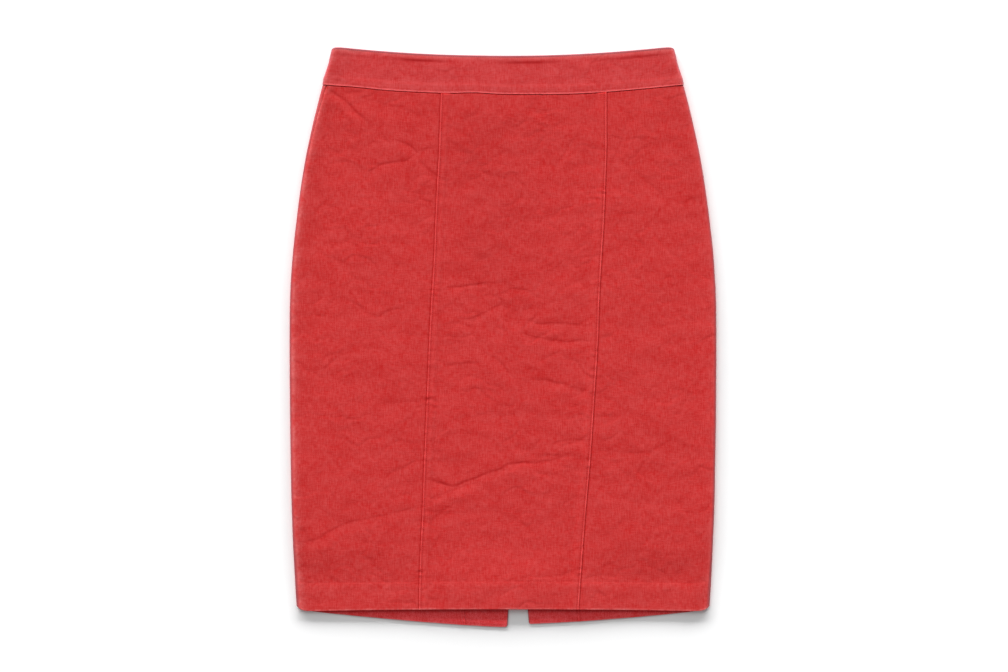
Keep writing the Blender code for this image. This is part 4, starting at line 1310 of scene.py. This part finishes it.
def enamel_material(name, colour):
    """Satin enamel over cast zinc, rubbed thinner in specks."""
    made, tree, shader = new_material(name, {"Roughness": 0.34})
    places = add(tree, "TexCoord").outputs["Object"]
    rubbed = noise(tree, places, 900.0, 4, 0.7)
    level = add(tree, "MapRange", {"Value": rubbed, "From Min": 0.62, "From Max": 0.72}).outputs[0]
    shades = blended(tree, level, lit(colour, 1.0), (0.55, 0.42, 0.40, 1.0))
    tree.links.new(arithmetic(tree, "MULTIPLY", level, 0.8), shader.inputs["Metallic"])
    surfaced(tree, shader, shades, rubbed, 0.25, 0.05 * MM)
    return made


def floor_material(colour):
    """Plain matt paper."""
    values = {"Roughness": 0.95, "Specular IOR Level": 0.0}
    made, tree, shader = new_material("floor_paper", values)
    fibres = noise(tree, add(tree, "TexCoord").outputs["Object"], 60.0, 3)
    shades = blended(tree, fibres, lit(colour, 0.995), lit(colour, 1.0))
    tree.links.new(shades, shader.inputs["Base Color"])
    return made


# --- zip -----------------------------------------------------------------------------

TAPE_THICK = 0.6 * MM
TAPE_BELOW = 1.55 * MM  # the tape's lower face above the lift of the cloth
COIL_HALF, COIL_HEIGHT = 1.15 * MM, 0.55 * MM
COIL_PITCH, COIL_WIRE = 1.25 * MM, 0.24 * MM
COIL_FOOT, COIL_SHORT = 2 * MM, 14 * MM  # above the tape's lower end, and shorter than it
COIL_STEPS, COIL_SIDES = 9, 5  # of a turn, and round the wire
ZIP_TOP_INSET = 3.0 * MM
TAPE_ROWS, TAPE_COLUMNS = 150, 29
RIB_PITCH, RIB_HIGH = 2.2 * MM, 0.05 * MM
SELVEDGE_HIGH, SELVEDGE_WIDE = 0.15 * MM, 1.0 * MM


def make_zip_tape():
    """Two tapes meeting under the coil, as one thin strip that follows the cloth's lift."""
    offsets = np.linspace(-ZIP_TAPE_HALF, ZIP_TAPE_HALF, TAPE_COLUMNS)[None, :]
    y = np.linspace(TOP_Y - ZIP_LENGTH, TOP_Y - ZIP_TOP_INSET, TAPE_ROWS)[:, None] + 0 * offsets
    x = back_centre(y) + offsets
    ribs = RIB_HIGH * np.cos(2 * math.pi * offsets / RIB_PITCH)
    edge = SELVEDGE_HIGH * hill(ZIP_TAPE_HALF - np.abs(offsets), SELVEDGE_WIDE)
    low = zip_lift(x, y) + TAPE_BELOW
    lower = np.stack([x, y, low], -1)
    upper = np.stack([x, y, low + TAPE_THICK + ribs + edge], -1)
    return shell("zip_tape", upper, lower, np.stack([x, y], -1), {}, 1)


def tube(points, radius, sides):
    """Points and faces of a closed tube along a path."""
    ahead = unit(np.gradient(points, axis=0))
    side = unit(np.cross(ahead, (0.13, 0.97, 0.2)))
    up = np.cross(side, ahead)
    turn = np.linspace(0, 2 * math.pi, sides, endpoint=False)
    rings = points[:, None] + radius * (
        side[:, None] * np.cos(turn)[None, :, None] + up[:, None] * np.sin(turn)[None, :, None]
    )
    index = np.arange(len(points) * sides).reshape(len(points), sides)
    faces = ring_faces(index).tolist() + [index[0, ::-1].tolist(), index[-1].tolist()]
    return rings.reshape(-1, 3), faces


def make_zip_coil():
    """The closed coil: two wires wound into each other along the tape."""
    turns = int((ZIP_LENGTH - COIL_SHORT) / COIL_PITCH)
    t = np.linspace(0, turns, turns * COIL_STEPS + 1)
    wires, faces = [], []
    for side in (-1, 1):
        y = TOP_Y - ZIP_LENGTH + COIL_FOOT + t * COIL_PITCH + (side > 0) * COIL_PITCH / 2
        swing = np.cos(2 * math.pi * t)
        x = back_centre(y) + side * (0.35 * COIL_HALF - 0.65 * COIL_HALF * swing)
        base = zip_lift(x, y) + TAPE_BELOW + TAPE_THICK + COIL_WIRE
        z = base + COIL_HEIGHT / 2 * (1 + np.sin(2 * math.pi * t))
        points, rings = tube(np.stack([x, y, z], -1), COIL_WIRE, COIL_SIDES)
        faces += [[i + sum(len(wire) for wire in wires) for i in ring] for ring in rings]
        wires.append(points)
    return add_smooth("zip_coil", np.concatenate(wires), faces)


def hinge_frame():
    """The pull tab's hinge from the frame: its X along the pin, +Y towards the waist."""
    joint = frame["joints"][0]
    pin = Vector(joint["axis"]).normalized()
    up = Vector((0, 0, 1))
    turn = Matrix((pin, up.cross(pin), up)).transposed().to_4x4()
    return Matrix.Translation(Vector(joint["pos_m"])) @ turn


def bevelled_box(mesh, low, high, bevel):
    low, high = Vector(low), Vector(high)
    place = Matrix.Translation((low + high) / 2) @ Matrix.Diagonal((*(high - low), 1))
    made = bmesh.ops.create_cube(mesh, size=1, matrix=place)
    edges = list({edge for vert in made["verts"] for edge in vert.link_edges})
    bmesh.ops.bevel(mesh, geom=edges, offset=bevel, segments=3, profile=0.5, affect="EDGES")


def finish_metal(name, mesh):
    data = bpy.data.meshes.new(name)
    mesh.transform(hinge_frame())
    mesh.to_mesh(data)
    mesh.free()
    data.shade_smooth()
    data.set_sharp_from_angle(angle=math.radians(50))
    return add_object(name, data)


# Slider and pull tab, from the hinge
SLIDER_LOW, SLIDER_HIGH = 3.0 * MM, 4.35 * MM
SLIDER_HALF = 2.15 * MM, 3.9 * MM
YOKE_LOW, YOKE_HIGH = 0.92 * MM, 1.28 * MM
YOKE_HALF = 1.75 * MM, 1.15 * MM
NECK_HALF, NECK_SUNK = (0.4 * MM, 1.4 * MM), (0.1 * MM, 0.3 * MM)  # into the yoke and the body
EAR_THICK, EAR_LONG, EAR_FOOT = 0.45 * MM, 0.75 * MM, -0.5 * MM
PIN_RADIUS = 0.3 * MM
BARREL_RADIUS, BARREL_LENGTH, BORE_RADIUS = 0.78 * MM, 2.15 * MM, 0.45 * MM
PULL_LENGTH, PULL_WIDE, PULL_NARROW = 17.8 * MM, 2.6 * MM, 0.92 * MM
PULL_NECK, PULL_WAIST = 2.6 * MM, (0.78, 8.0 * MM)  # where it widens, and how wide how far on
PULL_THICK, PULL_RISE = 0.62 * MM, 0.08 * MM
RIM_WIDE, RIM_DEEP, RIM_BEVEL = 0.45 * MM, 0.14 * MM, 0.12 * MM


def make_zip_slider():
    """Slider body inside the skirt, with the neck, yoke, ears and pin that hold the pull tab."""
    mesh = bmesh.new()
    wide, long = SLIDER_HALF
    bevelled_box(mesh, (-wide, -long, SLIDER_LOW), (wide, long, SLIDER_HIGH), 0.35 * MM)
    wide, long = NECK_HALF
    low, high = YOKE_HIGH - NECK_SUNK[0], SLIDER_LOW + NECK_SUNK[1]
    bevelled_box(mesh, (-wide, -long, low), (wide, long, high), 0.08 * MM)
    wide, long = YOKE_HALF
    bevelled_box(mesh, (-wide, -long, YOKE_LOW), (wide, long, YOKE_HIGH), 0.1 * MM)
    for side in (-1, 1):
        near, far = sorted((side * (wide - EAR_THICK), side * wide))
        bevelled_box(mesh, (near, -EAR_LONG, EAR_FOOT), (far, EAR_LONG, low), 0.1 * MM)
    bmesh.ops.create_cone(
        mesh, cap_ends=True, segments=20, radius1=PIN_RADIUS, radius2=PIN_RADIUS,
        depth=2 * wide - EAR_THICK, matrix=Matrix.Rotation(math.radians(90), 4, "Y"),
    )
    return finish_metal("zip_slider", mesh)


def make_zip_pull():
    """A drop-shaped tab with a raised rim, on its barrel."""
    share, down = PULL_WAIST
    outline = [(PULL_NARROW, 0.0), (PULL_NARROW, -PULL_NECK), (PULL_WIDE * share, -down)]
    end = PULL_LENGTH - PULL_WIDE
    turn = np.linspace(0, math.pi, 15)
    outline += [(PULL_WIDE * math.cos(a), -end - PULL_WIDE * math.sin(a)) for a in turn]
    outline += [(-x, y) for x, y in reversed(outline[:3])]
    low = PULL_RISE - BARREL_RADIUS
    mesh = bmesh.new()
    base = mesh.faces.new([mesh.verts.new((x, y, low)) for x, y in outline])
    raised = bmesh.ops.extrude_face_region(mesh, geom=[base])["geom"]
    top = [part for part in raised if isinstance(part, bmesh.types.BMVert)]
    bmesh.ops.translate(mesh, verts=top, vec=(0, 0, PULL_THICK))
    bmesh.ops.recalc_face_normals(mesh, faces=mesh.faces)
    flats = [face for face in mesh.faces if abs(face.normal.z) > 0.9]
    bmesh.ops.inset_region(mesh, faces=flats, thickness=RIM_WIDE, depth=-RIM_DEEP)
    rims = [edge for edge in mesh.edges if edge.calc_face_angle(0) > math.radians(60)]
    bmesh.ops.bevel(mesh, geom=rims, offset=RIM_BEVEL, segments=2, profile=0.5, affect="EDGES")
    bmesh.ops.triangulate(mesh, faces=[face for face in mesh.faces if len(face.verts) > 4])
    sides, half = 24, BARREL_LENGTH / 2
    angles = np.linspace(0, 2 * math.pi, sides, endpoint=False)
    rings = [
        [mesh.verts.new((x, radius * math.cos(a), radius * math.sin(a))) for a in angles]
        for radius, x in (
            (BARREL_RADIUS, -half), (BARREL_RADIUS, half), (BORE_RADIUS, half), (BORE_RADIUS, -half)
        )
    ]
    for ring, following in zip(rings, rings[1:] + rings[:1]):
        for i in range(sides):
            j = (i + 1) % sides
            mesh.faces.new((ring[i], ring[j], following[j], following[i]))
    bmesh.ops.recalc_face_normals(mesh, faces=mesh.faces)
    return finish_metal("zip_pull", mesh)


# --- what a user would change --------------------------------------------------------


class SkirtCloth(bpy.types.PropertyGroup):
    crease_strength: bpy.props.FloatProperty(
        name="Crease strength", description="Depth of the creases, as a share of their own",
        default=0.145, min=0.0, max=2.0, subtype="FACTOR",
    )
    ripple_height: bpy.props.FloatProperty(
        name="Ripple height", description="Height of the cloth's low unevenness",
        default=0.31 * MM, min=0.0, max=2 * MM, unit="LENGTH", precision=5,
    )
    stitch_pitch: bpy.props.FloatProperty(
        name="Stitch pitch", description="From one stitch to the next",
        default=2.3 * MM, min=1.5 * MM, max=8 * MM, unit="LENGTH", precision=5,
    )
    stitch_length: bpy.props.FloatProperty(
        name="Stitch length", description="Of the thread that shows in each stitch",
        default=1.5 * MM, min=1 * MM, max=7 * MM, unit="LENGTH", precision=5,
    )
    thread_radius: bpy.props.FloatProperty(
        name="Thread radius", description="Half the thickness of the sewing thread",
        default=0.17 * MM, min=0.1 * MM, max=0.6 * MM, unit="LENGTH", precision=5,
    )


class SkirtColours(bpy.types.PropertyGroup):
    cloth: bpy.props.FloatVectorProperty(
        name="Denim", description="Dyed colour of the panels", subtype="COLOR",
        size=3, default=(0.534, 0.0364, 0.0356), min=0.0, max=1.0,
    )
    band: bpy.props.FloatVectorProperty(
        name="Band denim", description="Dyed colour of the waistband", subtype="COLOR",
        size=3, default=(0.562, 0.0484, 0.0492), min=0.0, max=1.0,
    )
    thread: bpy.props.FloatVectorProperty(
        name="Thread", description="Colour of the sewing thread", subtype="COLOR",
        size=3, default=(0.430, 0.026, 0.030), min=0.0, max=1.0,
    )
    overcast: bpy.props.FloatVectorProperty(
        name="Edge thread", description="Colour of the ticks along the top edge", subtype="COLOR",
        size=3, default=(0.200, 0.030, 0.045), min=0.0, max=1.0,
    )
    tape: bpy.props.FloatVectorProperty(
        name="Zip tape", description="Colour of the zip's tape and coil", subtype="COLOR",
        size=3, default=(0.450, 0.030, 0.032), min=0.0, max=1.0,
    )
    metal: bpy.props.FloatVectorProperty(
        name="Enamel", description="Colour of the slider and pull tab", subtype="COLOR",
        size=3, default=(0.420, 0.035, 0.035), min=0.0, max=1.0,
    )


class SkirtStage(bpy.types.PropertyGroup):
    floor: bpy.props.FloatVectorProperty(
        name="Floor", description="Colour of the floor", subtype="COLOR",
        size=3, default=(0.985, 0.985, 0.987), min=0.0, max=1.0,
    )
    key_power: bpy.props.FloatProperty(
        name="Key light", description="Power of the soft light above the waist",
        default=660.0, min=0.0, unit="POWER",
    )
    low_power: bpy.props.FloatProperty(
        name="Low light", description="Power of the low strip that throws the hem's shadow",
        default=119000.0, min=0.0, unit="POWER",
    )
    dome: bpy.props.FloatProperty(
        name="Dome", description="Strength of the even light from all round",
        default=0.282, min=0.0,
    )
    camera_height: bpy.props.FloatProperty(
        name="Camera height", description="Of the camera above the cloth",
        default=3.2, min=0.5, unit="LENGTH",
    )


# --- operators -----------------------------------------------------------------------


def settings():
    scene = bpy.context.scene
    return scene.skirt_cloth, scene.skirt_colours, scene.skirt_stage


def material(name, make, *values):
    """A material by name, made the first time it is asked for."""
    return bpy.data.materials.get(name) or make(name, *values)


def sew_gores(face, levels, keep):
    """Make the gores of the front or the back."""
    sizes, colours, _ = settings()
    runs = gore_runs()
    for name in CUTS:
        if name.startswith(face):
            piece = make_gore(GORES[name], runs[name], levels, sizes, keep)
            cloth = material("washed denim", denim, tuple(colours.cloth), 1.0)
            dress_sheet(piece, cloth, name)


class SKIRT_OT_front_gores(bpy.types.Operator):
    """Make the three gores of the front"""

    bl_idname = "skirt.front_gores"
    bl_label = "Front gores"

    def execute(self, context):
        sew_gores("front", rows_up(FRONT_STEP), INNER_KEEP)
        return {"FINISHED"}


class SKIRT_OT_back_gores(bpy.types.Operator):
    """Make the four gores of the back, with the slit and its facings"""

    bl_idname = "skirt.back_gores"
    bl_label = "Back gores"

    def execute(self, context):
        sew_gores("back", rows_up(BACK_STEP, SLIT_TOP[1] + TURN_ROWS), 1)
        return {"FINISHED"}


class SKIRT_OT_waistband(bpy.types.Operator):
    """Make the shaped waistband in its three stretches"""

    bl_idname = "skirt.waistband"
    bl_label = "Waistband"

    def execute(self, context):
        sizes, colours, _ = settings()
        cloth = material("washed band denim", denim, tuple(colours.band), 0.9)
        for stretch in STRETCHES:
            dress_sheet(make_band(stretch, sizes), cloth, stretch.name)
        return {"FINISHED"}


class SKIRT_OT_topstitching(bpy.types.Operator):
    """Sew the topstitching of the gores' lapped seams and both edges of the waistband"""

    bl_idname = "skirt.topstitching"
    bl_label = "Topstitching"

    def execute(self, context):
        sizes, colours, _ = settings()
        thread = material("sewing thread", thread_material, tuple(colours.thread))
        overcast = material("edge thread", thread_material, tuple(colours.overcast))
        thread_sizes = sizes.stitch_pitch, sizes.stitch_length, sizes.thread_radius
        for name, gore in GORES.items():
            surface = outer_face(gore, gore_state, PANELS, sizes)
            for kind, seam, inward in (
                (gore.low_kind, gore.low, 1), (gore.high_kind, gore.high, -1)
            ):
                if kind != "lapped":
                    continue
                y = np.linspace(HEM_Y + 3 * MM, WAIST_Y, SEAM_POINTS)
                s = seam(y) + inward * STITCH_IN
                near_hem = 1 - smooth((y - HEM_Y) / EDGE_ZONE)
                y = y + np.where(y < 0, hem_line(s, PANELS) - HEM_Y, 0) * near_hem
                name_here = f"stitch_{name}_{'left' if seam(0.0) < 0 else 'right'}"
                dress(stitches(name_here, surface, s, y, *thread_sizes), thread)
        tick = sizes.stitch_pitch, TICK_LENGTH, TICK_RADIUS
        for stretch in STRETCHES:
            surface = outer_face(stretch, band_state, BAND, sizes)
            low, high = stretch.low(TOP_Y, BAND), stretch.high(TOP_Y, BAND)
            s = np.linspace(low + 1.5 * MM, high - 1.5 * MM, SEAM_POINTS)
            waist, top = waist_line(s, BAND) + WAIST_STITCH_UP, top_line(s, BAND) - TICK_IN
            name = f"stitch_{stretch.name}"
            sewing = stitches(f"{name}_waist", surface, s, waist, *thread_sizes)
            ticks = stitches(f"{name}_top", surface, s, top, *tick, crossing=True)
            dress(sewing, thread)
            dress(ticks, overcast)
        return {"FINISHED"}


class SKIRT_OT_zip(bpy.types.Operator):
    """Make the closed centre-back zip: tape, coil, slider and pull tab"""

    bl_idname = "skirt.zip"
    bl_label = "Zip"

    def execute(self, context):
        colours = settings()[1]
        tape = material("woven tape", tape_material, tuple(colours.tape))
        enamel = material("red enamel", enamel_material, tuple(colours.metal))
        strip = dress(make_zip_tape(), tape, "zip_tape")
        coil = dress(make_zip_coil(), tape)
        dress(make_zip_slider(), enamel, "zip_slider")
        dress(make_zip_pull(), enamel, "zip_pull")
        return {"FINISHED"}


# The stage. Azimuth 0 is above the waist, and below 0 to the left; angles are in degrees.
IMAGE_WIDTH = 1008
PIXEL = 1.1 * MM  # on the cloth
VIEW_WIDTH = IMAGE_WIDTH * PIXEL
VIEW_CENTRE = 1.1 * MM, 1.5 * MM
FLOOR_HALF, FLOOR_DROP = 4.0, 0.1 * MM
KEY_LIGHT = {"size": (13, 9.75), "distance": 13, "azimuth": -22, "elevation": 38}
LOW_LIGHT = {"size": (90, 12.5), "distance": 50, "azimuth": -3, "elevation": 11.2}


class SKIRT_OT_stage(bpy.types.Operator):
    """Set the floor, the soft lights and the camera above the skirt"""

    bl_idname = "skirt.stage"
    bl_label = "Stage"

    def execute(self, context):
        stage = settings()[2]
        scene = bpy.context.scene
        scene.view_settings.view_transform = "Standard"
        mesh = bpy.data.meshes.new("floor")
        corners = (-1, -1), (1, -1), (1, 1), (-1, 1)
        points = [(x * FLOOR_HALF, y * FLOOR_HALF, 0) for x, y in corners]
        mesh.from_pydata(points, [], [(0, 1, 2, 3)])
        mesh.materials.append(floor_material(tuple(stage.floor)))
        floor = add_object("floor", mesh)
        floor.location.z = -FLOOR_DROP
        world = bpy.data.worlds.new("dome")
        world.use_nodes = True
        backdrop = world.node_tree.nodes["Background"]
        backdrop.inputs["Color"].default_value = (1.0, 1.0, 1.0, 1.0)
        backdrop.inputs["Strength"].default_value = stage.dome
        scene.world = world
        area_light("key", stage.key_power, **KEY_LIGHT)
        area_light("low", stage.low_power, **LOW_LIGHT)
        camera = bpy.data.cameras.new("camera")
        camera.sensor_width = 36.0
        camera.lens = camera.sensor_width * stage.camera_height / VIEW_WIDTH
        camera.clip_start, camera.clip_end = 0.01, 100
        scene.camera = add_object("camera", camera)
        scene.camera.location = (*VIEW_CENTRE, stage.camera_height + PANELS.loft)
        return {"FINISHED"}


def area_light(name, power, size, distance, azimuth, elevation):
    """A soft panel aimed at the skirt."""
    light = bpy.data.lights.new(name, "AREA")
    light.shape = "RECTANGLE"
    light.size, light.size_y = size
    light.energy = power
    held = add_object(name, light)
    turn, rise = math.radians(azimuth), math.radians(elevation)
    across_floor = math.sin(turn) * math.cos(rise), math.cos(turn) * math.cos(rise)
    towards = Vector((*across_floor, math.sin(rise)))
    held.location = towards * distance
    held.rotation_euler = towards.to_track_quat("Z", "Y").to_euler()


class SKIRT_PT_panel(bpy.types.Panel):
    """Makes the skirt's pieces one by one"""

    bl_label = "Skirt"
    bl_space_type = "VIEW_3D"
    bl_region_type = "UI"
    bl_category = "Skirt"

    def draw(self, context):
        layout = self.layout
        for operator in OPERATORS:
            layout.operator(operator.bl_idname)
        scene = context.scene
        for group in (scene.skirt_cloth, scene.skirt_colours, scene.skirt_stage):
            box = layout.box()
            for name in group.bl_rna.properties.keys():
                if name not in ("rna_type", "name"):
                    box.prop(group, name)


OPERATORS = (
    SKIRT_OT_back_gores,
    SKIRT_OT_front_gores,
    SKIRT_OT_waistband,
    SKIRT_OT_topstitching,
    SKIRT_OT_zip,
    SKIRT_OT_stage,
)
GROUPS = {"skirt_cloth": SkirtCloth, "skirt_colours": SkirtColours, "skirt_stage": SkirtStage}


def register():
    for group in GROUPS.values():
        bpy.utils.register_class(group)
    for name, group in GROUPS.items():
        setattr(bpy.types.Scene, name, bpy.props.PointerProperty(type=group))
    for made in (*OPERATORS, SKIRT_PT_panel):
        bpy.utils.register_class(made)


def unregister():
    for made in (SKIRT_PT_panel, *reversed(OPERATORS)):
        bpy.utils.unregister_class(made)
    for name, group in GROUPS.items():
        delattr(bpy.types.Scene, name)
        bpy.utils.unregister_class(group)


def main():
    register()
    bpy.ops.skirt.stage()
    bpy.ops.skirt.back_gores()
    bpy.ops.skirt.front_gores()
    bpy.ops.skirt.waistband()
    bpy.ops.skirt.topstitching()
    bpy.ops.skirt.zip()


if __name__ == "__main__":
    main()
